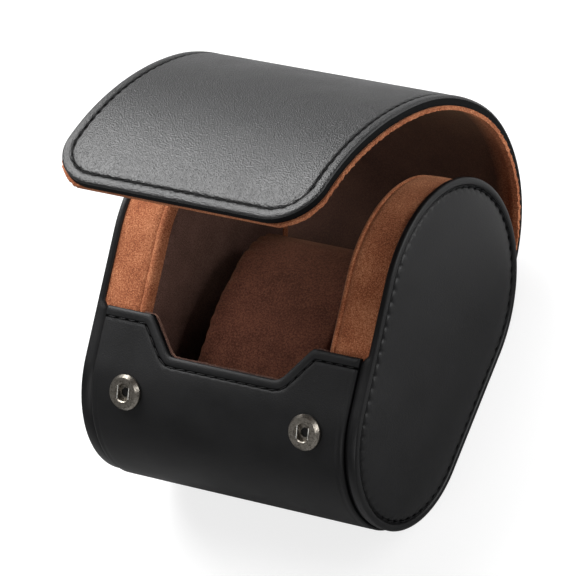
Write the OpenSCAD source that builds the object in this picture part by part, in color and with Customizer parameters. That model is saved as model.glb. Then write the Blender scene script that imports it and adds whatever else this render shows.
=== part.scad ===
// Travel case for one wristwatch: two padded egg-shaped side walls, a leather wrap that joins
// them at the front and the base, a curved lid that unrolls backwards, two press studs, and a
// loose pillow that the watch is strapped round.
// X runs across the case, -Y is the front, Z is up. The origin is the centre of the flat base.

/* [Side outline] */
// Radius of the rim's back arc
back_r = 32.6; // [29:0.2:37]
// Radius of the rim's front arc
front_r = 27; // [23:0.2:29]
// Distance between the centres of the two arcs, which is the length of the flat base
base_l = 35; // [30:1:45]

/* [Widths] */
// Width over the beads of the two side covers
case_w = 88; // [80:1:110]
// Thickness of each side wall, from the bead to the well
wall_t = 15; // [13:0.5:18]
// Width of the leather edge that each side cover turns over onto the rim
edge_w = 4.2; // [3.6:0.2:7]
// How far the wrap's edges stay inside the beads
wrap_reveal = 4; // [2:0.5:5]
// How far the lid's edges stay inside the beads
lid_reveal = 4; // [4:0.1:8]

/* [Leather and lining] */
// Thickness of the cover and wrap leather
leather_t = 1; // [0.8:0.1:1.4]
// Thickness of the boards in the wrap and the lid
board_t = 0.8; // [0.6:0.1:1]
// Thickness of the suede lining
suede_t = 1; // [0.8:0.1:1.4]
// How far the lid's suede stands out past its leather edge
suede_proud = 0.8; // [0.4:0.1:1.5]

/* [Side cover] */
// Width of the rounded bead round each side cover
bead_w = 3; // [2.6:0.2:5]
// Depth of the stitched valley inside the bead
valley_d = 1.2; // [0.6:0.1:1.6]
// How far the padded face swells out past the bead
crown_h = 2; // [0.4:0.1:3]
// Thickness of the stiff board in each side wall
side_board_t = 1.5; // [1:0.1:2]

/* [Front notch] */
// Distance of the wrap's top edge from the start of the straight slope, down the slope
tab_drop = 20.3; // [16:0.5:22]
// Depth of the notch below the wrap's top edge
notch_d = 10; // [6:0.5:12]
// Width of the notch at the wrap's top edge
notch_top_w = 51; // [40:1:56]
// Width of the notch at its bottom
notch_bottom_w = 35; // [24:1:38]

/* [Press studs] */
// Distance of each press stud from the wrap's side edge
stud_inset = 11.5; // [10:0.5:18]
// Distance of the press studs from the end of the straight slope, round the front arc
stud_drop = 6.7; // [6:0.2:10]
// Diameter of the socket's ring
ring_d = 9.6; // [8:0.2:12]
// Height of the socket's ring above the leather
ring_h = 2; // [1.6:0.1:2.6]
// Diameter of the hole in the ring
hole_d = 4.6; // [4.2:0.1:5]
// Diameter of the stud's head
head_d = 3.7; // [3:0.1:4]
// Diameter of the stud's neck
neck_d = 3; // [2.4:0.1:3.2]
// Diameter of the stud's flange
flange_d = 9; // [7:0.2:11]
// Thickness of the stud's flange
flange_t = 0.6; // [0.4:0.1:0.8]
// How deep the stud's flange is sunk in the lid's suede
flange_sunk = 0.4; // [0.2:0.1:0.6]
// Diameter of the rivet disc that holds each stud in the lid's board
rivet_d = 6; // [4:0.5:8]
// Thickness of the socket's spring wires
wire_d = 0.44; // [0.3:0.02:0.5]

/* [Lid] */
// Distance of the lid's fold from the back end of the flat base, round the back arc
fold_s = 12.5; // [11:0.5:16]
// Length of the bare leather fold
fold_l = 9; // [8:0.5:12]
// Length of the lid's lower back
back_low_l = 29; // [24:1:34]
// Length of the lid's upper back
back_high_l = 31; // [26:1:36]
// Length of the lid's top
top_l = 31; // [26:1:36]
// Length of the lid's front as far as its nose
front_l = 31; // [26:1:36]
// Length of the lid's nose
nose_l = 31; // [26:1:36]
// Distance of the press studs from the lid's front edge
stud_edge = 7.5; // [6:0.5:10]
// How much longer the lid is, from its fold to the press studs, than the rim that it goes round
lid_ease = 12.6; // [10:0.2:16]
// Bend radius of the open fold
fold_r = 42; // [30:1:50]
// How much wider than the rim's back arc the open lower back bends
back_low_ease = 3.4; // [1:0.2:8]
// How much wider than the rim's back arc the open upper back bends
back_high_ease = 8.4; // [4:0.2:16]
// Bend radius of the open top
top_r = 66; // [50:1:90]
// Bend radius of the open front
front_bend_r = 90; // [70:1:130]
// Bend radius of the open nose
nose_r = 70; // [50:1:90]
// Radius of the lid's two front corners
corner_r = 13; // [8:1:18]

/* [Pillow] */
// Room between each end of the pillow and the well's wall
pillow_gap = 5.5; // [2:0.5:9]
// How far each end of the pillow swells past its middle
pillow_end = 3.5; // [2:0.5:5]
// Depth of the pillow from front to back
pillow_l = 60; // [50:1:64]
// Height of the pillow
pillow_h = 41; // [34:1:44]

/* [Hidden] */
$fn = 48;

black = "#1b1b1d";
board_grey = "#8d8578";
foam_white = "#d8d4c8";
suede_tan = "#a0673c";
suede_brown = "#4a2f22";
gunmetal = "#8a8782";

eps = 0.01;
seat = 0.3;                                        // gap between soft pieces on different bodies
back_steps = 36;                                   // straight pieces in the rim's back arc
front_steps = 26;                                  // straight pieces in the rim's front arc

// ---- the rim: back arc, straight slope, front arc and flat base, met along s ----
slope = 2 * atan((back_r - front_r) / base_l);     // fall of the straight slope, in degrees
back_c = [base_l / 2, leather_t + back_r];
front_c = [-base_l / 2, leather_t + front_r];
slope_s = back_r * (180 + slope) * PI / 180;       // where the straight slope starts
front_s = slope_s + base_l;                        // where the front arc starts
flat_s = front_s + front_r * (180 - slope) * PI / 180;
rim_l = flat_s + base_l;
back_step = slope_s / back_steps;
front_step = (flat_s - front_s) / front_steps;
stops = concat(
    [for (i = [0 : back_steps]) i * back_step],
    [for (i = [0 : front_steps]) front_s + i * front_step]
);

function polar(r, a) = [r * cos(a), r * sin(a)];
function degrees_of(arc, r) = arc / r * 180 / PI;
function on_grid(s) = round(s / back_step) * back_step;

// Direction that the rim faces at s, in degrees from +Y towards +Z
function rim_normal(s) =
    s >= rim_l ? rim_normal(s - rim_l) :
    s < slope_s ? -90 + degrees_of(s, back_r) :
    s < front_s ? 90 + slope :
    s < flat_s ? 90 + slope + degrees_of(s - front_s, front_r) : 270;

// Point of the rim at s, moved outwards by out
function rim_at(s, out = 0) =
    s >= rim_l ? rim_at(s - rim_l, out) :
    s < slope_s ? back_c + polar(back_r + out, rim_normal(s)) :
    s < front_s ? back_c + polar(back_r + out, 90 + slope) + polar(s - slope_s, 180 + slope) :
    s < flat_s ? front_c + polar(front_r + out, rim_normal(s)) :
    [front_c[0] + s - flat_s, leather_t - out];

function stations(s0, s1) = concat(
    [s0],
    [for (turn = [0, rim_l], s = stops) if (s + turn > s0 + eps && s + turn < s1 - eps) s + turn],
    [s1]
);

function egg(out = 0) = [for (s = stops) rim_at(s, out)];

module egg2d(out = 0) { polygon(egg(out)); }

// A strip that follows the rim from s0 to s1, between two offsets
module strip2d(s0, s1, out0, out1) {
    along = stations(s0, s1);
    last = len(along) - 1;
    polygon(concat([for (s = along) rim_at(s, out1)], [for (i = [last : -1 : 0]) rim_at(along[i], out0)]));
}

module along_x(x0, x1) { translate([x0, 0, 0]) rotate([90, 0, 90]) linear_extrude(x1 - x0) children(); }

module across(width) { along_x(-width / 2, width / 2) children(); }

// Puts a shape on the rim at s: its z faces outwards and its -y runs on along the rim
module on_rim(s, out = 0) {
    p = rim_at(s, out);
    translate([0, p[0], p[1]]) rotate([rim_normal(s) - 90, 0, 0]) children();
}

// A solid whose sections across X are outlines: rings is a list of lists of 3D points
module loft(rings) {
    n = len(rings[0]);
    last = len(rings) - 1;
    polyhedron(
        points = [for (ring = rings) each ring],
        faces = concat(
            [[for (j = [0 : n - 1]) j]],
            [for (i = [0 : last - 1], j = [0 : n - 1]) let (a = i * n + j, b = i * n + (j + 1) % n)
                each [[a, a + n, b + n], [a, b + n, b]]],
            [[for (j = [n - 1 : -1 : 0]) last * n + j]]
        )
    );
}

// profile is a list of [inset from the rim, x]
module egg_loft(profile) { loft([for (p = profile) [for (q = egg(-p[0])) [p[1], q[0], q[1]]]]); }

// ---- widths across the case ----
half_w = case_w / 2;
well_x = half_w - wall_t;                          // the well's wall
turn_x = half_w - edge_w;                          // inner edge of the turned leather
wrap_w = case_w - 2 * wrap_reveal;
lid_w = case_w - 2 * lid_reveal;

// ---- side walls ----
board_x = half_w - bead_w * 0.9;                   // outer face of the side board
cheek_x = board_x - side_board_t;                  // outer face of the cheek foam

// Outside of the side cover: turned edge, rounded bead, stitched valley, padded face
cover_profile = [
    [0, turn_x],
    [0, half_w - bead_w / 2],
    [bead_w * 0.06, half_w - bead_w * 0.26],
    [bead_w * 0.22, half_w - bead_w * 0.07],
    [bead_w * 0.45, half_w],
    [bead_w * 0.7, half_w - bead_w * 0.06],
    [bead_w * 0.9, half_w - valley_d * 0.6],
    [bead_w * 1.05, half_w - valley_d],
    [bead_w * 1.35, half_w - valley_d * 0.5],
    [bead_w * 2.1, half_w + crown_h * 0.25],
    [bead_w * 3.4, half_w + crown_h * 0.7],
    [bead_w * 5.6, half_w + crown_h]
];
function inside_cover() = [for (i = [0 : len(cover_profile) - 1]) let (p = cover_profile[i])
    [max(p[0], i < 3 ? leather_t : p[0]), i == 0 ? p[1] - 1 : p[1] - leather_t]];

module side_cover() {
    color(black) difference() {
        egg_loft(cover_profile);
        egg_loft(inside_cover());
    }
}

module side_pad() {
    pad = [for (p = inside_cover()) if (p[0] > bead_w) p];
    color(foam_white) egg_loft(concat([[pad[0][0], board_x]], pad));
}

module side_board() {
    color(board_grey) along_x(cheek_x, board_x) egg2d(-leather_t);
}

// Cord-like filler that holds the bead up
module rim_filler() {
    color(board_grey) along_x(board_x, half_w - valley_d - leather_t) difference() {
        egg2d(-leather_t - 0.2);
        egg2d(-bead_w * 0.85);
    }
}

module cheek_foam() {
    color(foam_white) difference() {
        along_x(well_x + suede_t, cheek_x) egg2d(-leather_t);
        eyelet_pockets();
    }
}

module cheek_lining() {
    color(suede_brown) difference() {
        along_x(well_x, well_x + suede_t) egg2d(-leather_t);
        eyelet_pockets();
    }
}

// ---- wrap ----
tab_s = slope_s + tab_drop;                        // the wrap's top edge
hinge_s = rim_l + on_grid(fold_s);                 // the wrap's back end
band_start = on_grid(fold_s);

// Suede on the rim, from the lid's fold over the top to the wrap
module rim_band() {
    color(suede_tan) along_x(well_x, turn_x) strip2d(band_start, tab_s - eps, -leather_t, 0);
}

module notch(extra = 0) {
    on_rim(tab_s) translate([0, 0, -back_r / 2]) linear_extrude(back_r) polygon([
        [-notch_top_w / 2 + extra, notch_d],
        [-notch_top_w / 2 + extra, 0],
        [-notch_bottom_w / 2 + extra, -notch_d + extra],
        [notch_bottom_w / 2 - extra, -notch_d + extra],
        [notch_top_w / 2 - extra, 0],
        [notch_top_w / 2 - extra, notch_d]
    ]);
}

module wrap_strip(width, out0, out1, notched = true) {
    difference() {
        across(width) strip2d(tab_s, hinge_s, out0, out1);
        if (notched) notch();
    }
}

stud_s = front_s + stud_drop;
eyelet_r = 1.6;                                    // outside of the eyelet's barrel
eyelet_wall = 0.35;
eyelet_play = 0.02;
eyelet_flange_r = 2.9;
eyelet_flange_t = 0.5;

lining_out = -max(board_t, leather_t);             // outer face of the well's lining, from the rim
pocket_h = 4 * leather_t;                          // deeper than any layer that it is cut from

module at_studs() {
    for (side = [-1, 1]) translate([side * (wrap_w / 2 - stud_inset), 0, 0]) on_rim(stud_s) children();
}

// Room for the eyelets' flanges in what lies under the wrap
module eyelet_pockets() {
    at_studs() translate([0, 0, lining_out - eyelet_flange_t]) cylinder(r = eyelet_flange_r, h = pocket_h);
}

module wrap_leather() {
    color(black) difference() {
        wrap_strip(wrap_w, 0, leather_t);
        at_studs() translate([0, 0, -leather_t]) cylinder(r = eyelet_r + eyelet_play, h = pocket_h);
    }
}

module wrap_board() {
    color(board_grey) difference() {
        wrap_strip(2 * turn_x, -board_t, 0);
        at_studs() translate([0, 0, -2 * board_t]) cylinder(r = eyelet_r + eyelet_play, h = pocket_h);
    }
}

module well_lining() {
    color(suede_brown) difference() {
        wrap_strip(2 * well_x, lining_out - suede_t, lining_out);
        eyelet_pockets();
    }
}

// ---- press-stud sockets on the wrap ----
wire_x = neck_d / 2 + wire_d / 2 + 0.06;           // the wires lie just outside the stud's neck
wire_z = leather_t + ring_h * 0.8;
ring_floor = 0.4;

module socket_wire(d) {
    reach = ring_d / 2 - 1;
    for (x = [-wire_x, wire_x]) translate([x, reach, wire_z]) rotate([90, 0, 0]) cylinder(d = d, h = 2 * reach);
}

module socket_rings() {
    lip = 0.7;
    color(gunmetal) at_studs() difference() {
        translate([0, 0, leather_t]) rotate_extrude() polygon([
            [eyelet_r - eyelet_wall, 0], [ring_d / 2 - 0.2, 0], [ring_d / 2, 0.3], [ring_d / 2, ring_h * 0.45],
            [ring_d / 2 - lip, ring_h], [hole_d / 2 + 0.3, ring_h], [hole_d / 2, ring_h - 0.3],
            [hole_d / 2, ring_floor], [eyelet_r - eyelet_wall, ring_floor]
        ]);
        socket_wire(wire_d + 0.06);
    }
}

module socket_springs() { color("silver") at_studs() socket_wire(wire_d); }

module socket_eyelets() {
    bottom = lining_out - eyelet_flange_t;
    color(gunmetal) at_studs() rotate_extrude() polygon([
        [eyelet_r - eyelet_wall, bottom], [eyelet_flange_r - 0.1, bottom],
        [eyelet_flange_r - 0.1, lining_out], [eyelet_r, lining_out], [eyelet_r, leather_t],
        [eyelet_r - eyelet_wall, leather_t]
    ]);
}

// ---- lid: arcs that meet smoothly, met along s from the fold ----
lid_t = leather_t + board_t + suede_t;
lid_start = on_grid(fold_s);
lid_l = stud_s - lid_start + lid_ease + stud_edge;   // long enough to bring the studs to the sockets
lid_fit = (lid_l - fold_l - back_low_l - back_high_l - top_l - front_l - nose_l) / 4;  // let out in each part
arc_l = [fold_l, back_low_l + lid_fit, back_high_l + lid_fit, top_l + lid_fit, front_l + lid_fit, nose_l];
arc_r = [fold_r, back_r + back_low_ease, back_r + back_high_ease, top_r, front_bend_r, nose_r];
fold_start = rim_at(lid_start, leather_t + seat);

function arc_start(i) = i == 0 ? 0 : arc_start(i - 1) + arc_l[i - 1];

// [point, direction] after going l along an arc of radius r from a [point, direction]
function onward(frame, l, r) = let (a = frame[1] + degrees_of(l, r))
    [frame[0] + r * [sin(a) - sin(frame[1]), cos(frame[1]) - cos(a)], a];

function lid_frame(i) = i == 0 ? [fold_start, 0] : onward(lid_frame(i - 1), arc_l[i - 1], arc_r[i - 1]);

function arc_of(s, i = 0) = i == len(arc_l) - 1 || s <= arc_start(i + 1) ? i : arc_of(s, i + 1);

// Point of the lid's outside at s, moved inwards by depth
function lid_at(s, depth = 0) = let (i = arc_of(s), f = onward(lid_frame(i), s - arc_start(i), arc_r[i]))
    f[0] + depth * [-sin(f[1]), cos(f[1])];

function lid_angle(s) = let (i = arc_of(s)) lid_frame(i)[1] + degrees_of(s - arc_start(i), arc_r[i]);

// Places a shape on the lid's outside at s: its z faces outwards, its y runs towards the nose
module on_lid(s) {
    p = lid_at(s);
    translate([0, p[0], p[1]]) rotate([lid_angle(s) + 180, 0, 0]) mirror([0, 1, 0]) children();
}

back_s = arc_start(1);
top_s = arc_start(3);
front_part_s = arc_start(4);
nose_s = arc_start(5);
lid_end = nose_s + nose_l;
bends = [0, back_s, top_s, front_part_s, nose_s, lid_end];
last_part = len(bends) - 2;
leather_slit = 0.1;                                // the leather is divided at each bend by twice this
stud_play = 0.1;
board_play = 0.05;                                 // room round the studs in the lid's layers
fold_gap = 0.45;                                   // boards stop short of each bend by this
lid_step = 2;

module at_lid_studs() {
    for (side = [-1, 1]) translate([side * (wrap_w / 2 - stud_inset), 0, 0]) on_lid(lid_end - stud_edge) children();
}

// Cuts the nose's two corners round
module corner_cut(width, end_s) {
    for (side = [-1, 1]) scale([side, 1, 1]) on_lid(end_s - corner_r / 2)
        translate([width / 2 - corner_r, corner_r / 2 - corner_r, -corner_r]) difference() {
            cube([1.5 * corner_r, 1.6 * corner_r, 2 * corner_r]);
            translate([0, 0, -eps]) cylinder(r = corner_r, h = 2 * corner_r + 2 * eps, $fn = 64);
        }
}

// Where the outline of part k has its points, the same for all its layers
function part_stops(k) = let (a = bends[k] + fold_gap, b = bends[k + 1] - (k == last_part ? 0 : fold_gap))
    [for (n = ceil((b - a) / lid_step), i = [0 : n]) a + (b - a) * i / n];

module lid_layer(k, stops, depth0, depth1, grow = 0) {
    last = len(stops) - 1;
    difference() {
        across(lid_w + 2 * grow) polygon(concat(
            [for (s = stops) lid_at(s, depth0)],
            [for (i = [last : -1 : 0]) lid_at(stops[i], depth1)]
        ));
        if (k == last_part) corner_cut(lid_w + 2 * grow, lid_end + grow);
    }
}

module lid_leather(k) {
    ends = k == last_part ? [] : [bends[k + 1] - leather_slit];
    color(black) lid_layer(k, concat([bends[k] + leather_slit], part_stops(k), ends), 0, leather_t);
}

module lid_board(k) {
    color(board_grey) difference() {
        lid_layer(k, part_stops(k), leather_t, leather_t + board_t);
        if (k == last_part) at_lid_studs() {
            translate([0, 0, -lid_t]) cylinder(d = rivet_d + stud_play, h = lid_t);
            translate([0, 0, flange_z - lid_t])
                cylinder(d = flange_d + stud_play, h = lid_t + flange_t + board_play);
        }
    }
}

module lid_lining(k) {
    ends = k == last_part ? [lid_end + suede_proud] : [];
    color(suede_brown) difference() {
        lid_layer(k, concat(part_stops(k), ends), leather_t + board_t, lid_t, suede_proud);
        if (k == last_part)
            at_lid_studs() translate([0, 0, -2 * lid_t]) cylinder(d = flange_d + stud_play, h = 2 * lid_t);
    }
}

module lid_fold_leather() { lid_leather(0); }
module lid_back_leather() { lid_leather(1); }
module lid_top_leather() { lid_leather(2); }
module lid_front_leather() { lid_leather(3); }
module lid_nose_leather() { lid_leather(4); }
module lid_back_board() { lid_board(1); }
module lid_top_board() { lid_board(2); }
module lid_front_board() { lid_board(3); }
module lid_nose_board() { lid_board(4); }
module lid_back_lining() { lid_lining(1); }
module lid_top_lining() { lid_lining(2); }
module lid_front_lining() { lid_lining(3); }
module lid_nose_lining() { lid_lining(4); }

// ---- press studs on the lid; z = 0 is the lid's outside ----
flange_z = flange_sunk - lid_t;                    // underside of the stud's flange
stud_end = flange_z - ring_h + ring_floor + 0.1;   // end of the stud's head, over the socket's floor
head_top = stud_end + 0.6;

module lid_studs() {
    color(gunmetal) at_lid_studs() rotate_extrude() polygon([
        [0, stud_end], [head_d / 2 - 0.2, stud_end], [head_d / 2, stud_end + 0.2],
        [head_d / 2, head_top], [neck_d / 2, head_top + 0.2], [neck_d / 2, flange_z],
        [flange_d / 2, flange_z], [flange_d / 2, flange_z + flange_t], [0, flange_z + flange_t]
    ]);
}

// Rivet discs in the lid's board that hold the studs
module lid_stud_rivets() {
    color(gunmetal) at_lid_studs() translate([0, 0, flange_z + flange_t])
        cylinder(d = rivet_d, h = -leather_t - flange_z - flange_t - stud_play);
}

// ---- pillow ----
pillow_c = [0, leather_t + max(board_t, leather_t) + suede_t + seat + pillow_h / 2];
pillow_w = 2 * (well_x - pillow_gap - pillow_end);  // width of the pillow's straight middle
pillow_points = 40;
pillow_power = 0.8;                                // below 1 the section is fuller than an ellipse

function full(v) = sign(v) * pow(abs(v), pillow_power);
function pillow_section(inset) = [for (i = [0 : pillow_points - 1]) let (a = 360 * i / pillow_points)
    pillow_c + [(pillow_l / 2 - inset) * full(cos(a)), (pillow_h / 2 - inset) * full(sin(a))]];

module pillow_cover() {
    color(suede_brown) across(pillow_w) difference() {
        polygon(pillow_section(0));
        polygon(pillow_section(suede_t));
    }
}

module pillow_core() {
    color(foam_white) across(pillow_w) polygon(pillow_section(suede_t));
}

module pillow_end() {
    ends = [[0, 0], [1.5, 0.5], [4, 0.78], [8, 0.93], [13, 1]];
    color(suede_brown) loft([for (e = ends)
        [for (p = pillow_section(e[0])) [pillow_w / 2 + pillow_end * e[1], p[0], p[1]]]]);
}

mirror([1, 0, 0]) side_cover();  // side_cover_left
side_cover();  // side_cover_right
mirror([1, 0, 0]) side_pad();  // side_pad_left
side_pad();  // side_pad_right
mirror([1, 0, 0]) side_board();  // side_board_left
side_board();  // side_board_right
mirror([1, 0, 0]) rim_filler();  // rim_filler_left
rim_filler();  // rim_filler_right
mirror([1, 0, 0]) cheek_foam();  // cheek_foam_left
cheek_foam();  // cheek_foam_right
mirror([1, 0, 0]) cheek_lining();  // cheek_lining_left
cheek_lining();  // cheek_lining_right
mirror([1, 0, 0]) rim_band();  // rim_band_left
rim_band();  // rim_band_right
wrap_leather();
wrap_board();
well_lining();
socket_rings();
socket_springs();
socket_eyelets();
lid_fold_leather();
lid_back_leather();
lid_top_leather();
lid_front_leather();
lid_nose_leather();
lid_back_board();
lid_top_board();
lid_front_board();
lid_nose_board();
lid_back_lining();
lid_top_lining();
lid_front_lining();
lid_nose_lining();
lid_studs();
lid_stud_rivets();
pillow_cover();
pillow_core();
mirror([1, 0, 0]) pillow_end();  // pillow_end_left
pillow_end();  // pillow_end_right
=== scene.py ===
"""Dresses the watch travel case: leather, suede, stitching, press studs and the pillow.

Lengths inside the geometry helpers are in millimetres; meshes are made in metres, in the frame of
the CAD part: X across the case, -Y to the front, Z up from the middle of the flat base.
"""

from __future__ import annotations

import logging
import math
from contextlib import contextmanager
from dataclasses import dataclass, field
from enum import Enum
from typing import Callable, Iterable, Iterator, Sequence

import bpy
import numpy as np
from bpy.types import Material, Node, NodeSocket, NodeTree, Object
from mathutils import Matrix, Vector


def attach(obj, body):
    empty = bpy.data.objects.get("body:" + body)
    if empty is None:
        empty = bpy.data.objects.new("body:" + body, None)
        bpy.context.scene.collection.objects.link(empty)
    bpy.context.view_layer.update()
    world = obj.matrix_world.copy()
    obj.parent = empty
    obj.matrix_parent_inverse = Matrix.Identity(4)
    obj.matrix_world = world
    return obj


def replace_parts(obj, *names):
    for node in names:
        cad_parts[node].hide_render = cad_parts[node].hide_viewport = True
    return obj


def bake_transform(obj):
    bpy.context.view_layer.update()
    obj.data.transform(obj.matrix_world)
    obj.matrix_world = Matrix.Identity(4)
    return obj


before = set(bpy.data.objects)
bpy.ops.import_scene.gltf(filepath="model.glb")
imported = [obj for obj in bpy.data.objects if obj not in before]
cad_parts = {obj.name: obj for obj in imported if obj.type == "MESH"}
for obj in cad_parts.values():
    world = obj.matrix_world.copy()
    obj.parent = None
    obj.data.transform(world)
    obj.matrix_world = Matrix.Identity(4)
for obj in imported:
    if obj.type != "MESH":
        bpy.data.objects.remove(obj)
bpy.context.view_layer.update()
MM = 0.001
MERGE_MM = 0.01  # vertices nearer than this are one
CLOTH_FRAMES = 20
CLOTH_PRESSURE = 4
CLOTH_KG = 0.003  # of each point
log = logging.getLogger("watch_case")


class Side(Enum):
    """The two halves of the case, with the sign of their X."""

    LEFT = -1
    RIGHT = 1

    @property
    def tag(self) -> str:
        """The word that ends a piece's name."""
        return self.name.lower()


# ---------------------------------------------------------------- operators


def deselect() -> None:
    """Leaves object mode's selection empty."""
    if bpy.context.mode != "OBJECT":
        bpy.ops.object.mode_set(mode="OBJECT")
    bpy.ops.object.select_all(action="DESELECT")


def focus(obj: Object) -> Object:
    """Makes obj the only selected and the active object.

    Args:
        obj: the object to work on.

    Returns:
        The same object.
    """
    deselect()
    obj.select_set(True)
    bpy.context.view_layer.objects.active = obj
    return obj


@contextmanager
def editing() -> Iterator[None]:
    """Edit mode with everything selected, then object mode again.

    Yields:
        Nothing: operators edit the mesh meanwhile.
    """
    bpy.ops.object.mode_set(mode="EDIT")
    bpy.ops.mesh.select_all(action="SELECT")
    yield
    bpy.ops.object.mode_set(mode="OBJECT")


def apply_modifier(obj: Object, kind: str, **settings: object) -> None:
    """Adds a modifier, sets it and applies it.

    Args:
        obj: the piece.
        kind: Blender's name of the modifier, such as "SOLIDIFY".
        settings: the modifier's properties.
    """
    focus(obj)
    mod = obj.modifiers.new(kind.lower(), kind)
    for key, value in settings.items():
        setattr(mod, key, value)
    bpy.ops.object.modifier_apply(modifier=mod.name)


def clean(obj: Object) -> None:
    """Merges doubles and points every face outwards.

    Args:
        obj: the piece.
    """
    focus(obj)
    with editing():
        bpy.ops.mesh.remove_doubles(threshold=MERGE_MM * MM)
        bpy.ops.mesh.normals_make_consistent(inside=False)


def settle(obj: Object, name: str, smooth: float = 40.0) -> Object:
    """Names a piece, puts its place in its mesh and shades it smooth.

    Args:
        obj: the piece.
        name: its name.
        smooth: faces that meet at less than this many degrees are shaded as one.

    Returns:
        The same object.
    """
    focus(obj)
    obj.name = name
    obj.data.name = name
    bpy.ops.object.transform_apply(location=True, rotation=True, scale=True)
    bpy.ops.object.shade_smooth_by_angle(angle=math.radians(smooth))
    return obj


def coordinates(obj: Object) -> np.ndarray:
    """The piece's vertices in millimetres, one row each.

    Args:
        obj: the piece.

    Returns:
        Their coordinates.
    """
    co = np.empty(len(obj.data.vertices) * 3)
    obj.data.vertices.foreach_get("co", co)
    return co.reshape(-1, 3) / MM


def place(obj: Object, co: np.ndarray) -> None:
    """Puts the piece's vertices at coordinates in millimetres."""
    obj.data.vertices.foreach_set("co", (co * MM).ravel())
    obj.data.update()


def ring_stack(rings: Sequence[np.ndarray]) -> Object:
    """Extrudes a circle ring by ring, closes the last ring and puts the rings in place.

    Args:
        rings: each ring's points in millimetres, as many in each.

    Returns:
        The shell, open at its first ring.
    """
    deselect()
    bpy.ops.mesh.primitive_circle_add(vertices=len(rings[0]), radius=1)
    obj = bpy.context.object
    with editing():
        for _ in rings[1:]:
            bpy.ops.mesh.extrude_edges_move()
        bpy.ops.mesh.edge_face_add()
    place(obj, np.concatenate(rings))
    return obj


def stuff(
    obj: Object, voxel: float, cap: float, sewn: Callable[[np.ndarray], np.ndarray]
) -> None:
    """Swells a closed piece as stuffed cloth swells.

    Args:
        obj: the piece.
        voxel: size of the cloth's mesh in millimetres.
        cap: the furthest that a point may move, in millimetres.
        sewn: how firmly each point is held by a seam, from 0 to 1.
    """
    focus(obj)
    obj.data.remesh_voxel_size = voxel * MM
    bpy.ops.object.voxel_remesh()
    before = coordinates(obj)
    held = np.round(sewn(before), 2)
    group = obj.vertex_groups.new(name="sewn")
    for grip in np.unique(held):
        group.add(np.flatnonzero(held == grip).tolist(), float(grip), "REPLACE")
    cloth = obj.modifiers.new("stuffing", "CLOTH")
    cloth.settings.use_pressure = True
    cloth.settings.uniform_pressure_force = CLOTH_PRESSURE
    cloth.settings.mass = CLOTH_KG
    cloth.settings.effector_weights.gravity = 0
    cloth.settings.vertex_group_mass = "sewn"
    cloth.point_cache.frame_start, cloth.point_cache.frame_end = 1, CLOTH_FRAMES
    for step in range(1, CLOTH_FRAMES + 1):
        bpy.context.scene.frame_set(step)
    swollen = coordinates(obj.evaluated_get(bpy.context.evaluated_depsgraph_get()))
    obj.modifiers.remove(cloth)
    obj.vertex_groups.clear()
    bpy.context.scene.frame_set(1)
    shift = swollen - before
    far = np.linalg.norm(shift, axis=1, keepdims=True)
    log.info("%s: stuffed, moved up to %.1f mm", obj.name, float(far.max()))
    place(obj, before + shift * np.minimum(1, cap / np.maximum(far, 1e-6)))


def join(parts: Sequence[Object], name: str) -> Object:
    """Joins copies of one shape into one piece.

    Args:
        parts: the copies, each with its own mesh.
        name: the piece's name.

    Returns:
        The joined piece.
    """
    deselect()
    for part in parts:
        part.select_set(True)
    bpy.context.view_layer.objects.active = parts[0]
    bpy.ops.object.join()
    return settle(bpy.context.view_layer.objects.active, name)


# ---------------------------------------------------------------- lines in the YZ plane


def placing(spot: Vector, along: Vector, up: Vector) -> Matrix:
    """A placing matrix in metres.

    Args:
        spot: the place in millimetres.
        along: the direction that Y takes.
        up: the direction that Z takes, square to it.

    Returns:
        The matrix.
    """
    turn = Matrix((along.cross(up), along, up)).transposed().to_4x4()
    return Matrix.Translation(spot * MM) @ turn


def way_along(line: np.ndarray) -> np.ndarray:
    """Distance run to each point of a line, one row per point."""
    return np.concatenate([[0], np.cumsum(np.hypot(*np.diff(line, axis=0).T))])


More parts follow.
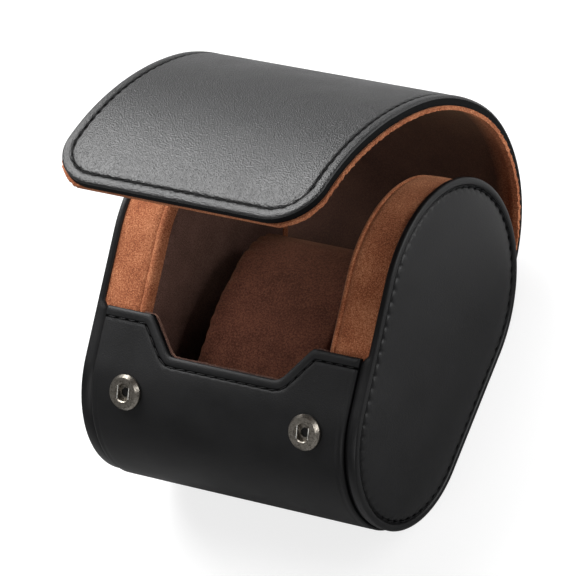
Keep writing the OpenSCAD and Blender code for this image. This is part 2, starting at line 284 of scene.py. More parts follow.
@dataclass(frozen=True)
class Path:
    """A line in the YZ plane, densely sampled: stations, points and headings.

    Its outside is on the right of the way it runs, so a rim or flap met from the base round the
    back and over the top has its outside away from the well.
    """

    s: np.ndarray
    y: np.ndarray
    z: np.ndarray
    heading: np.ndarray

    @staticmethod
    def of_arcs(
        start: tuple[float, float], heading: float, arcs: Iterable[tuple[float, float]]
    ) -> "Path":
        """Builds a line of arcs that meet smoothly.

        Args:
            start: first point, as (y, z).
            heading: first direction in degrees, from +Y towards +Z.
            arcs: (length, radius) pairs; a radius of zero is a straight stretch.

        Returns:
            The sampled line.
        """
        s, y, z, h = [0.0], [start[0]], [start[1]], [heading]
        for length, radius in arcs:
            count = max(2, int(length / 0.25))
            y0, z0, h0, s0 = y[-1], z[-1], h[-1], s[-1]
            for i in range(1, count + 1):
                run = length * i / count
                if radius:
                    turn = h0 + math.degrees(run / radius)
                    a, b = math.radians(h0), math.radians(turn)
                    y.append(y0 + radius * (math.sin(b) - math.sin(a)))
                    z.append(z0 + radius * (math.cos(a) - math.cos(b)))
                    h.append(turn)
                else:
                    a = math.radians(h0)
                    y.append(y0 + run * math.cos(a))
                    z.append(z0 + run * math.sin(a))
                    h.append(h0)
                s.append(s0 + run)
        return Path(*(np.array(v) for v in (s, y, z, h)))

    def joined(self, other: "Path", at: float) -> "Path":
        """This line with a smooth run-out replaced by another line from station `at` of that line.

        Args:
            other: the line that goes on, met at its own stations.
            at: the station of the other line where it takes over.

        Returns:
            A line whose stations are the other line's, negative before its start.
        """
        keep = other.s >= at
        p1, h1 = other.point(at), math.radians(other.at_heading(at))
        p0, h0 = np.array([self.y[-1], self.z[-1]]), math.radians(self.heading[-1])
        reach = float(np.linalg.norm(p1 - p0))
        t = np.linspace(0, 1, 60)[:-1]
        m0 = reach * np.array([math.cos(h0), math.sin(h0)])
        m1 = reach * np.array([math.cos(h1), math.sin(h1)])
        base = [2 * t**3 - 3 * t**2 + 1, t**3 - 2 * t**2 + t, -2 * t**3 + 3 * t**2, t**3 - t**2]
        pts = sum(np.outer(b, v) for b, v in zip(base, (p0, m0, p1, m1)))
        head = np.degrees(np.interp(t, [0, 1], [h0, h1]))
        lead = at - reach * (1 - t)
        first = self.s - self.s[-1] + at - reach
        return Path(
            np.concatenate([first[:-1], lead, other.s[keep]]),
            np.concatenate([self.y[:-1], pts[:, 0], other.y[keep]]),
            np.concatenate([self.z[:-1], pts[:, 1], other.z[keep]]),
            np.concatenate([self.heading[:-1], head, other.heading[keep]]),
        )

    def at_heading(self, s: float | np.ndarray) -> float | np.ndarray:
        """Direction at station s, in degrees."""
        return np.interp(s, self.s, self.heading)

    def point(self, s: float, out: float = 0.0) -> np.ndarray:
        """The point (y, z) at station s, moved outwards by out."""
        y, z = self.at(np.array([s]), np.array([out]))
        return np.array([y[0], z[0]])

    def at(self, s: np.ndarray, out: np.ndarray) -> tuple[np.ndarray, np.ndarray]:
        """Points at stations s, moved outwards.

        Args:
            s: stations.
            out: distances outwards, one per station.

        Returns:
            Their y and z.
        """
        a = np.radians(self.at_heading(s))
        return (
            np.interp(s, self.s, self.y) + out * np.sin(a),
            np.interp(s, self.s, self.z) - out * np.cos(a),
        )

    def place(self, x: float, s: float, out: float) -> Matrix:
        """A placing matrix in metres: X across, Y along the line, Z outwards.

        Args:
            x: distance across.
            s: station.
            out: distance outwards.

        Returns:
            The matrix.
        """
        y, z = self.point(s, out)
        a = math.radians(float(self.at_heading(s)))
        along = Vector((0, math.cos(a), math.sin(a)))
        up = Vector((0, math.sin(a), -math.cos(a)))
        return placing(Vector((x, y, z)), along, up)


@dataclass(frozen=True)
class CaseSizes:
    """Sizes of the case in millimetres, as in the CAD part."""

    back_r: float = 32.6
    front_r: float = 27.0
    base_l: float = 35.0
    leather_t: float = 1.0
    board_t: float = 0.8
    suede_t: float = 1.0
    half_w: float = 44.0
    wall_t: float = 15.0
    edge_w: float = 4.2
    wrap_w: float = 80.0
    lid_w: float = 80.0
    tab_drop: float = 20.3
    notch_d: float = 10.0
    notch_top: float = 25.5
    notch_bottom: float = 17.5
    stud_x: float = 28.5
    stud_edge: float = 7.5
    corner_r: float = 13.0
    fold_s: float = 12.53
    lid_arcs: tuple[tuple[float, float], ...] = (
        (9, 42),
        (29.008, 36),
        (31.008, 41),
        (31.008, 66),
        (31.008, 90),
        (31, 70),
    )

    @property
    def slope(self) -> float:
        """Fall of the rim's straight slope, in degrees."""
        return 2 * math.degrees(math.atan((self.back_r - self.front_r) / self.base_l))

    @property
    def slope_s(self) -> float:
        """Station where the rim's slope starts."""
        return self.back_r * math.radians(180 + self.slope)

    @property
    def front_s(self) -> float:
        """Station where the rim's front arc starts."""
        return self.slope_s + self.base_l

    @property
    def flat_s(self) -> float:
        """Station where the flat base starts."""
        return self.front_s + self.front_r * math.radians(180 - self.slope)

    @property
    def rim_l(self) -> float:
        """Length of the whole rim."""
        return self.flat_s + self.base_l

    @property
    def tab_s(self) -> float:
        """Station of the wrap's top edge."""
        return self.slope_s + self.tab_drop

    @property
    def well_x(self) -> float:
        """X of the well's wall."""
        return self.half_w - self.wall_t

    @property
    def turn_x(self) -> float:
        """X of the turned leather's inner edge."""
        return self.half_w - self.edge_w


SIZE = CaseSizes()
LOOP = [
    (SIZE.slope_s, SIZE.back_r),
    (SIZE.base_l, 0.0),
    (SIZE.flat_s - SIZE.front_s, SIZE.front_r),
    (SIZE.base_l, 0.0),
]
RIM = Path.of_arcs((SIZE.base_l / 2, SIZE.leather_t), 0.0, LOOP + LOOP)
CLEARANCE = 0.3  # between the rim's leather and the lid
FOLD_START = RIM.point(SIZE.fold_s, SIZE.leather_t + CLEARANCE)
LEAVE_S = 6.0  # the wrap's leather leaves the rim here and goes on as the lid
TAKE_OVER_S = 4.5  # the lid's own arcs take over from its run-out here
FLAP = Path.of_arcs((SIZE.base_l / 2, 0.0), 0.0, [(LEAVE_S, SIZE.back_r + SIZE.leather_t)]).joined(
    Path.of_arcs(tuple(FOLD_START), 0.0, SIZE.lid_arcs), at=TAKE_OVER_S
)
BENDS = [sum(length for length, _ in SIZE.lid_arcs[:k]) for k in (0, 1, 3, 4, 5)]
LID_END = sum(length for length, _ in SIZE.lid_arcs)
LID_PARTS = ["fold", "back", "top", "front", "nose"]


# ---------------------------------------------------------------- flat patterns


@dataclass
class Pattern:
    """A flat piece cut from leather or suede, laid on a path.

    Stations run along the path and x across it. The outline is a closed polygon of (x, s) points
    whose open ends, such as a seam hidden under another strip, aren't counted as edges.
    """

    path: Path
    half_w: float
    start: Callable[[np.ndarray], np.ndarray]
    end: Callable[[np.ndarray], np.ndarray]
    edges: list[np.ndarray] = field(default_factory=list)
    taper: Callable[[np.ndarray], np.ndarray] = np.ones_like
    fringe: Callable[..., tuple[np.ndarray, np.ndarray]] | None = None  # shifts from x, s and edge
    sewn: list[np.ndarray] | None = None  # the cut edges that a seam follows, if not all

    def distance(
        self, x: np.ndarray, s: np.ndarray, edges: Sequence[np.ndarray] | None = None
    ) -> np.ndarray:
        """Distance of points from the pattern's cut edges.

        Args:
            x: their x.
            s: their stations.
            edges: the lines to measure from; all the cut edges if none are given.

        Returns:
            Distances in millimetres.
        """
        best = np.full(x.shape, 1e3)
        pts = np.stack([x, s], -1)
        for line in self.edges if edges is None else edges:
            for a, b in zip(line[:-1], line[1:]):
                d = b - a
                t = np.clip(((pts - a) @ d) / max(float(d @ d), 1e-9), 0, 1)
                gap = pts - (a + t[..., None] * d)
                best = np.minimum(best, np.hypot(gap[..., 0], gap[..., 1]))
        return best


def level(station: float) -> Callable[[np.ndarray], np.ndarray]:
    """A square end of a pattern: the same station at every x."""
    return lambda x: np.full(np.shape(x), station)


def spaced(near: Sequence[float], length: float, coarse: float, both: bool = True) -> np.ndarray:
    """Distances along a length, close together near its ends.

    Args:
        near: distances from an end, close together.
        length: the whole length.
        coarse: spacing between.
        both: whether both ends are fine, or only the first.

    Returns:
        Increasing distances from 0 to length.
    """
    first = np.array([v for v in near if v < length / 2])
    last = length - first[::-1] if both else np.array([length])
    middle = np.linspace(first[-1], last[0], max(2, int((last[0] - first[-1]) / coarse) + 2))[1:-1]
    return np.concatenate([first, middle, last])


# distances from a sewn edge, close together where its groove runs
FINE = (0, 0.12, 0.3, 0.6, 1.1, 1.7, 2.25, 2.6, 2.85, 3.05, 3.25, 3.5, 3.85, 4.4, 5.3, 6.6, 8.4)
FADE_MM = 24  # within this distance the grid's rows follow an end that isn't square


def laid_grid(
    pattern: Pattern,
    across: np.ndarray,
    along: np.ndarray,
    relief: Callable[[np.ndarray, np.ndarray, np.ndarray], np.ndarray],
    depth: Callable[[np.ndarray, np.ndarray, np.ndarray], np.ndarray] | None = None,
) -> Object:
    """Adds a grid and lays it on the pattern's path, then gives it its thickness.

    Args:
        pattern: the flat pattern.
        across: fractions of the width, from 0 to 1.
        along: distances from the pattern's start, scaled where its ends aren't square.
        relief: gives the height over the path from x, s and the distance to the cut edges.
        depth: gives the thickness from the same three; a single sheet if left out.

    Returns:
        The laid piece, with each vertex's distance from the sewn edges kept as "edge_mm". The
        faces of its cut edge and its underside have material slot 1.
    """
    deselect()
    nx, ns = len(across) - 1, len(along) - 1
    bpy.ops.mesh.primitive_grid_add(x_subdivisions=nx, y_subdivisions=ns, size=2)
    obj = bpy.context.object
    co = coordinates(obj) * MM  # the grid runs from -1 to 1
    i = np.rint((co[:, 0] + 1) / 2 * nx).astype(int)
    j = np.rint((co[:, 1] + 1) / 2 * ns).astype(int)
    x = (across[i] * 2 - 1) * pattern.half_w
    s0, s1 = pattern.start(x), pattern.end(x)
    mean0, mean1 = float(pattern.start(np.zeros(1))[0]), float(pattern.end(np.zeros(1))[0])
    s = mean0 + along[j]
    fade0 = np.clip(1 - (s - mean0) / FADE_MM, 0, 1)
    fade1 = np.clip(1 - (mean1 - s) / FADE_MM, 0, 1)
    s = s + (s0 - mean0) * fade0 + (s1 - mean1) * fade1
    edge = pattern.distance(x, s)
    height = relief(x, s, edge)
    laid_x, laid_s = x, s
    if pattern.fringe:
        out_x, out_s = pattern.fringe(x, s, edge)
        x, s = x + out_x, s + out_s

    def placed(out: np.ndarray) -> np.ndarray:
        """The grid's points at this height over the path."""
        y, z = pattern.path.at(s, out)
        return np.stack([x * pattern.taper(s), y, z], -1)

    place(obj, placed(height))
    kept = obj.data.attributes.new("edge_mm", "FLOAT", "POINT")
    kept.data.foreach_set("value", pattern.distance(x, s, pattern.sewn).astype(np.float32))
    obj.data.update()
    face_outwards(obj, pattern.path)
    if depth:
        faces = len(obj.data.polygons)
        apply_modifier(obj, "SOLIDIFY", thickness=0.02 * MM, offset=-1)
        place(obj, np.concatenate([placed(height), placed(height - depth(laid_x, laid_s, edge))]))
        slots = np.ones(len(obj.data.polygons), dtype=np.int32)
        slots[:faces] = 0
        for _ in range(2):
            obj.data.materials.append(None)
        obj.data.polygons.foreach_set("material_index", slots)
        obj.data.update()
    return obj


def face_outwards(obj: Object, path: Path) -> None:
    """Turns a laid grid so that its faces look away from the well.

    Args:
        obj: the grid.
        path: the line that it lies on.
    """
    face = obj.data.polygons[len(obj.data.polygons) // 2]
    y, z = face.center[1] / MM, face.center[2] / MM
    k = int(np.argmin((path.y - y) ** 2 + (path.z - z) ** 2))
    a = math.radians(path.heading[k])
    if face.normal.dot(Vector((0, math.sin(a), -math.cos(a)))) < 0:
        focus(obj)
        with editing():
            bpy.ops.mesh.flip_normals()


def wobble(x: np.ndarray, s: np.ndarray, seed: float) -> np.ndarray:
    """A repeatable uneven value from -1 to 1 that changes over about a millimetre.

    Args:
        x: distances across, in millimetres.
        s: stations.
        seed: a number that changes the pattern.

    Returns:
        The values.
    """
    return (
        np.sin(x * 3.1 + seed) * np.sin(s * 2.7 + 1.7 * seed)
        + 0.6 * np.sin(s * 6.3 + x * 5.1 + 2.1 * seed)
        + 0.4 * np.sin(s * 11.9 - x * 9.7 + seed)
    ) / 2.0


# ---------------------------------------------------------------- finishes


def linear(hex_colour: str) -> tuple[float, float, float, float]:
    """An sRGB hex colour as linear RGBA.

    Args:
        hex_colour: such as "#1a1a1b".

    Returns:
        The linear colour with alpha 1.
    """
    parts = [int(hex_colour[i : i + 2], 16) / 255 for i in (1, 3, 5)]
    r, g, b = (v / 12.92 if v <= 0.04045 else ((v + 0.055) / 1.055) ** 2.4 for v in parts)
    return (r, g, b, 1.0)


def feed(
    tree: NodeTree, node: Node, values: dict[str | int, object]
) -> Node:
    """Gives a node's inputs their values.

    Args:
        tree: the node tree.
        node: the node.
        values: input name or number to an output socket, or to a value.

    Returns:
        The same node.
    """
    for key, value in values.items():
        if isinstance(value, NodeSocket):
            tree.links.new(value, node.inputs[key])
        else:
            node.inputs[key].default_value = value
    return node


def add_node(
    tree: NodeTree, kind: str, links: dict[str | int, object] | None = None, **settings: object
) -> Node:
    """Adds a node, sets it and links its inputs.

    Args:
        tree: the material's node tree.
        kind: the node's type.
        links: input name or number to an output socket, or to a value.
        settings: the node's properties.

    Returns:
        The node.
    """
    node = tree.nodes.new(kind)
    for key, value in settings.items():
        setattr(node, key, value)
    return feed(tree, node, links or {})


def maths(tree: NodeTree, operation: str, *values: object) -> NodeSocket:
    """The result of a Math node on sockets or numbers."""
    return add_node(tree, "ShaderNodeMath", dict(enumerate(values)), operation=operation).outputs[0]


def noise(
    tree: NodeTree, coords: NodeSocket, size: float, detail: float, rough: float = 0.5
) -> NodeSocket:
    """A noise pattern.

    Args:
        tree: the node tree.
        coords: the coordinates that it follows.
        size: its grain in millimetres.
        detail: how many finer layers it has.
        rough: how strong the finer layers are.

    Returns:
        Its value.
    """
    settings = {"Vector": coords, "Scale": 1000 / size, "Detail": detail, "Roughness": rough}
    return add_node(tree, "ShaderNodeTexNoise", settings).outputs["Fac"]


def mapped(
    tree: NodeTree,
    value: NodeSocket,
    given: tuple[float, float],
    wanted: tuple[float, float],
) -> NodeSocket:
    """A value taken from one range to another.

    Args:
        tree: the node tree.
        value: the value.
        given: the range that it has.
        wanted: the range that it gets.

    Returns:
        The new value.
    """
    settings = {"Value": value, "From Min": given[0], "From Max": given[1]}
    settings |= {"To Min": wanted[0], "To Max": wanted[1]}
    return add_node(tree, "ShaderNodeMapRange", settings).outputs["Result"]


def emboss(
    tree: NodeTree,
    shader: Node,
    height: NodeSocket,
    strength: float,
    depth: float,
) -> None:
    """Gives a shader its bump.

    Args:
        tree: the node tree.
        shader: the shader.
        height: the relief.
        strength: how strongly it shows.
        depth: its depth in millimetres.
    """
    values = {"Height": height, "Strength": strength, "Distance": depth * MM}
    feed(tree, shader, {"Normal": add_node(tree, "ShaderNodeBump", values).outputs["Normal"]})


def ramp(
    tree: NodeTree, fac: NodeSocket, stops: Sequence[tuple[float, str]]
) -> NodeSocket:
    """Adds a colour ramp.

    Args:
        tree: the node tree.
        fac: the driving value.
        stops: (position, sRGB hex) pairs.

    Returns:
        The ramp's colour output.
    """
    node = add_node(tree, "ShaderNodeValToRGB", {"Fac": fac})
    marks = node.color_ramp.elements
    while len(marks) < len(stops):
        marks.new(0.5)
    for mark, (position, colour) in zip(marks, stops):
        mark.position = position
        mark.color = linear(colour)
    return node.outputs["Color"]


class Finish:
    """A surface finish: a material with a Principled shader, ready for its pattern."""

    def build(self) -> Material:
        """Builds the material."""
        raise NotImplementedError

    @staticmethod
    def blank(
        name: str,
    ) -> tuple[Material, NodeTree, Node, NodeSocket]:
        """Starts a node material.

        Args:
            name: the material's name.

        Returns:
            The material, its tree, its shader and the Object coordinates.
        """
        material = bpy.data.materials.new(name)
        material.use_nodes = True
        tree = material.node_tree
        shader = tree.nodes["Principled BSDF"]
        coords = add_node(tree, "ShaderNodeTexCoord").outputs["Object"]
        return material, tree, shader, coords


@dataclass(frozen=True)
class GrainedLeather(Finish):
    """Chrome-tanned calf with a fine printed grain and a semi-matt finish coat."""

    name: str
    colour: str = "#111112"
    worn: str = "#19191a"
    roughness: float = 0.5
    gloss: float = 0.5
    grain_mm: float = 0.36
    grain_depth: float = 0.06
    grain_strength: float = 0.4
    seam_mm: float = 0.0  # painted shade: in the seam's groove at this distance from the cut edges the colour is darkened and the gloss dimmed

    def build(self) -> Material:
        """Builds the leather: pebbled bump and faint blotches, and painted shade with dimmed gloss in the
        seam's groove if set.

        Returns:
            The material.
        """
        material, tree, shader, coords = self.blank(self.name)
        pebble = add_node(
            tree,
            "ShaderNodeTexVoronoi",
            {"Vector": coords, "Scale": 1000 / self.grain_mm, "Smoothness": 0.6, "Randomness": 1.0},
            feature="SMOOTH_F1",
        ).outputs["Distance"]
        crease = noise(tree, coords, 0.6, 4.0, 0.6)
        cloud = noise(tree, coords, 14, 3.0)
        grain = maths(tree, "ADD", pebble, crease)
        emboss(tree, shader, grain, self.grain_strength, self.grain_depth)
        colour = ramp(tree, cloud, [(0.35, self.colour), (0.7, self.worn)])
        feed(tree, shader, {"Specular IOR Level": self.gloss, "IOR": 1.5})
        # painted shade: the colour is darkened to 6% along the seam's groove, and the gloss dimmed there
        if self.seam_mm:
            edge = add_node(tree, "ShaderNodeAttribute", attribute_name="edge_mm").outputs["Fac"]
            off = maths(tree, "ABSOLUTE", maths(tree, "SUBTRACT", edge, self.seam_mm))
            clear = mapped(tree, off, (0.2, 0.5), (0.06, 1.0))
            feed(tree, shader, {"Specular IOR Level": maths(tree, "MULTIPLY", clear, self.gloss)})
            scaled = add_node(tree, "ShaderNodeVectorMath", {0: colour, 3: clear}, operation="SCALE")
            colour = scaled.outputs[0]
        rough = mapped(tree, cloud, (0.3, 0.7), (self.roughness - 0.05, self.roughness + 0.06))
        feed(tree, shader, {"Base Color": colour, "Roughness": rough})
        return material


@dataclass(frozen=True)
class Suede(Finish):
    """Split leather with a brushed nap: soft, mottled and without gloss."""

    name: str
    dark: str = "#6c3823"
    mid: str = "#a25f40"
    light: str = "#cd8d66"
    nap_mm: float = 0.36  # tufts of fibre; drawn about twice as coarse as they are
    # painted shade: the dark colour that the suede turns to away from its cut edges, for the shade under
    # the lid
    deep: str = "#1f1a1d"
    painted_shade_mm: float = 0.0  # painted shade: over this distance from a cut edge the colour darkens towards the deep colour; 0 for never

    def build(self) -> Material:
        """Builds the suede: nap speckle, cloudy brush marks, sheen, and painted shade away from its edges
        if set.

        Returns:
            The material.
        """
        material, tree, shader, coords = self.blank(self.name)
        nap = noise(tree, coords, self.nap_mm, 5.0, 0.7)
        brush = noise(tree, coords, 7, 3.0)
        mixed = maths(tree, "MULTIPLY_ADD", brush, 0.2, maths(tree, "MULTIPLY", nap, 0.8))
        colour = ramp(tree, mixed, [(0.38, self.dark), (0.5, self.mid), (0.62, self.light)])
        # painted shade: away from the cut edges the colour is mixed towards the deep colour, standing for
        # the shade under the lid
        if self.painted_shade_mm:
            edge = add_node(tree, "ShaderNodeAttribute", attribute_name="edge_mm").outputs["Fac"]
            inside = mapped(tree, edge, (1.5, self.painted_shade_mm), (0.0, 0.9))
            colour = add_node(
                tree, "ShaderNodeMix", {"Factor": inside, 6: colour, 7: linear(self.deep)}, data_type="RGBA"
            ).outputs[2]
        emboss(tree, shader, nap, 0.6, 0.25)
        sheen = {"Sheen Weight": 0.25, "Sheen Roughness": 0.6, "Sheen Tint": linear("#e0b48c")}
        feed(tree, shader, {"Base Color": colour, "Roughness": 0.95, "Specular IOR Level": 0.15} | sheen)
        return material


@dataclass(frozen=True)
class Metal(Finish):
    """Plated brass of a press stud: antique nickel, brushed by wear, dark in its pits."""

    name: str
    colour: str = "#9d978e"
    pit: str = "#5a554e"
    roughness: float = 0.26

    def build(self) -> Material:
        """Builds the plating: small pits and rub marks.

        Returns:
            The material.
        """
        material, tree, shader, coords = self.blank(self.name)
        rub = noise(tree, coords, 0.6, 4.0, 0.65)
        colour = ramp(tree, rub, [(0.32, self.pit), (0.55, self.colour)])
        rough = mapped(tree, rub, (0.3, 0.7), (self.roughness + 0.15, self.roughness))
        emboss(tree, shader, rub, 0.2, 0.05)
        feed(tree, shader, {"Base Color": colour, "Roughness": rough, "Metallic": 1.0})
        return material


@dataclass(frozen=True)
class Fibrous(Finish):
    """A plain hidden or small material told by its fibre: board, foam, cord or waxed thread."""

    name: str
    dark: str
    light: str
    fibre_mm: float
    roughness: float = 0.8
    gloss: float = 0.5

    def build(self) -> Material:
        """Builds the fibre speckle and its bump.

        Returns:
            The material.
        """
        material, tree, shader, coords = self.blank(self.name)
        fibre = noise(tree, coords, self.fibre_mm, 5.0, 0.7)
        colour = ramp(tree, fibre, [(0.35, self.dark), (0.65, self.light)])
        emboss(tree, shader, fibre, 0.4, 0.1)
        surface = {"Roughness": self.roughness, "Specular IOR Level": self.gloss}
        feed(tree, shader, {"Base Color": colour} | surface)
        return material


def made(finish: Finish) -> Material:
    """A dataclass field that holds this finish's material, built with its class."""
    return field(default_factory=finish.build)


@dataclass(frozen=True)
class Workshop:
    """All the finishes of the case, each built once."""

    leather: Material = made(GrainedLeather("grained_calf", roughness=0.4, gloss=0.28))
    # the wrap and lid leather carry painted shade in their seams' grooves
    wrap_leather: Material = made(GrainedLeather("wrap_calf", gloss=0.25, seam_mm=2.8))
    lid_leather: Material = made(
        GrainedLeather(
            "lid_calf", roughness=0.38, gloss=0.55, grain_depth=0.12, grain_strength=1.0, seam_mm=3.0
        )
    )
    edge_paint: Material = made(Fibrous("edge_paint", "#070708", "#0e0f10", 0.8, 0.7, 0.08))
    suede: Material = made(Suede("tan_suede"))
    # the lid's suede has painted shade, darker away from its cut edges
    lid_suede: Material = made(Suede("lid_suede", painted_shade_mm=7.0))
    # painted shade: darker copies of the tan suede, standing for the shade inside the well
    inner_suede: Material = made(Suede("inner_suede", "#42302d", "#5e443e", "#765850"))
    # painted shade: the pillow's suede is coloured darker for the shade inside the well
    pillow_suede: Material = made(Suede("pillow_suede", "#3a2019", "#5e3529", "#7c4c3b", nap_mm=0.45))
    brown_thread: Material = made(Fibrous("brown_thread", "#2a1712", "#44281f", 0.35, 0.6))
    metal: Material = made(Metal("antique_nickel"))
    wire: Material = made(Metal("drawn_wire", "#c4c2bd", "#8c8a86", 0.22))
    thread: Material = made(Fibrous("waxed_thread", "#0a0a0b", "#161617", 0.35, 0.6, 0.2))
    board: Material = made(Fibrous("fibre_board", "#6f675a", "#8d8578", 0.7, 0.9))
    foam: Material = made(Fibrous("soft_foam", "#c8c3b4", "#ded9cc", 0.9, 0.95))
    cord: Material = made(Fibrous("cotton_cord", "#978d79", "#b3a994", 0.6, 0.9))


def dress(obj: Object, *materials: Material) -> Object:
    """Gives a piece its material slots.

    Args:
        obj: the piece.
        materials: one material per slot, in order.

    Returns:
        The same piece.
    """
    slots = np.zeros(len(obj.data.polygons), dtype=np.int32)
    obj.data.polygons.foreach_get("material_index", slots)
    obj.data.materials.clear()
    for material in materials:
        obj.data.materials.append(material)
    obj.data.polygons.foreach_set("material_index", np.minimum(slots, len(materials) - 1))
    return obj


def finished(
    obj: Object, name: str, *materials: Material, smooth: float = 40.0
) -> Object:
    """Cleans a piece, names it, shades it smooth and gives it its material slots.

    Args:
        obj: the piece.
        name: its name.
        materials: one material per slot, in order.
        smooth: faces that meet at less than this many degrees are shaded as one.

    Returns:
        The same piece.
    """
    clean(obj)
    return dress(settle(obj, name, smooth), *materials)


# ---------------------------------------------------------------- shared making


@dataclass(frozen=True)
class Stitcher:
    """Lays stitches of waxed thread along lines."""

    pitch: float = 3.2
    length: float = 2.9
    thick: float = 0.36

    def one(self) -> Object:
        """Models one stitch: a short tapered bead of thread, lying along Y.

        Returns:
            The stitch, at the origin.
        """
        deselect()
        bpy.ops.mesh.primitive_uv_sphere_add(segments=8, ring_count=6, radius=1.0)
        obj = bpy.context.object
        radius, half_l = self.thick / 2 * MM, self.length / 2 * MM
        with editing():
            bpy.ops.transform.rotate(value=math.pi / 2, orient_axis="X", center_override=(0, 0, 0))
            bpy.ops.transform.resize(value=(radius, half_l, radius), center_override=(0, 0, 0))
        return obj

    def sew(self, name: str, places: Sequence[Matrix]) -> Object:
        """Copies one stitch to each place and joins the copies.

        Args:
            name: the piece's name.
            places: placing matrices in metres, Y along the seam and Z outwards.

        Returns:
            The row of stitches as one piece.
        """
        first = self.one()
        copies = []
        for k, spot in enumerate(places):
            copy = first.copy()
            copy.data = first.data.copy()
            bpy.context.scene.collection.objects.link(copy)
            lean = Matrix.Rotation(math.radians(3 + 2 * math.sin(k * 2.3)), 4, "Z")
            copy.data.transform(spot @ lean)
            copies.append(copy)
        bpy.data.objects.remove(first)
        return join(copies, name)

    def spots(self, length: float) -> np.ndarray:
        """The middles of the stitches along a seam of this length, evenly spaced."""
        count = max(1, int(length / self.pitch))
        return (np.arange(count) + 0.5) * length / count

    def along(self, pattern: Pattern, line: np.ndarray, out: float) -> list[Matrix]:
        """Places for stitches along a line drawn on a pattern.

        Args:
            pattern: the pattern.
            line: (x, s) points.
            out: height of the thread over the path.

        Returns:
            Placing matrices, evenly spaced.
        """
        run = way_along(line)
        places = []
        for at in self.spots(run[-1]):
            x, s = np.interp(at, run, line[:, 0]), np.interp(at, run, line[:, 1])
            ahead = min(at + 0.3, run[-1])
            behind = max(at - 0.3, 0)
            dx = np.interp(ahead, run, line[:, 0]) - np.interp(behind, run, line[:, 0])
            ds = np.interp(ahead, run, line[:, 1]) - np.interp(behind, run, line[:, 1])
            turn = Matrix.Rotation(math.atan2(dx, ds), 4, "Z")
            places.append(pattern.path.place(float(x), float(s), out) @ turn)
        return places


STITCHER = Stitcher()


@dataclass(frozen=True)
class Seam:
    """How a seam marks the leather that it runs through.

    Attributes:
        inset: distance of the seam from the cut edge.
        deep: how far the thread pulls the leather in.
        wide: half-width of the groove.
        puff: how much the leather swells inside the seam.
        border: how much the strip between seam and edge stands up.
        pucker: how far the groove's sides wander from stitch to stitch.
    """

    inset: float = 3.3
    deep: float = 0.4
    wide: float = 0.5
    puff: float = 0.12
    border: float = 0.1
    pucker: float = 0.16

    def groove(self, run: np.ndarray, edge: np.ndarray) -> np.ndarray:
        """Height of the groove, its puckers and the swelling beside it.

        Args:
            run: distance run along the seam.
            edge: distance from the cut edge.

        Returns:
            Heights over the leather's nominal face.
        """
        phase = 2 * math.pi * run / STITCHER.pitch
        off = (edge - self.inset - self.pucker * np.sin(phase)) / self.wide
        valley = -self.deep * (1 + 0.25 * np.cos(phase)) * np.exp(-(off**2))
        swell = self.puff * np.clip((edge - self.inset) / 2.5, 0, 1) ** 0.7
        border = self.border * np.exp(-(((edge - self.inset / 2) / 1.0) ** 2))
        return valley + swell + border


def rounded_edge(edge: np.ndarray, radius: float = 0.8, drop: float = 0.6) -> np.ndarray:
    """Height of leather that falls away in a quarter round at its cut edge.

    Args:
        edge: distance from the cut edge.
        radius: width of the rounding.
        drop: how far it falls at the very edge.

    Returns:
        Heights, zero away from the edge.
    """
    return -drop * (1 - np.sqrt(np.clip(1 - np.clip(1 - edge / radius, 0, 1) ** 2, 0, 1)))


# ---------------------------------------------------------------- wrap


TAPER_MM = 16  # over this distance under the base the wrap narrows to the lid
BEYOND_MM = 30  # the wrap's side edges go on this far past its end


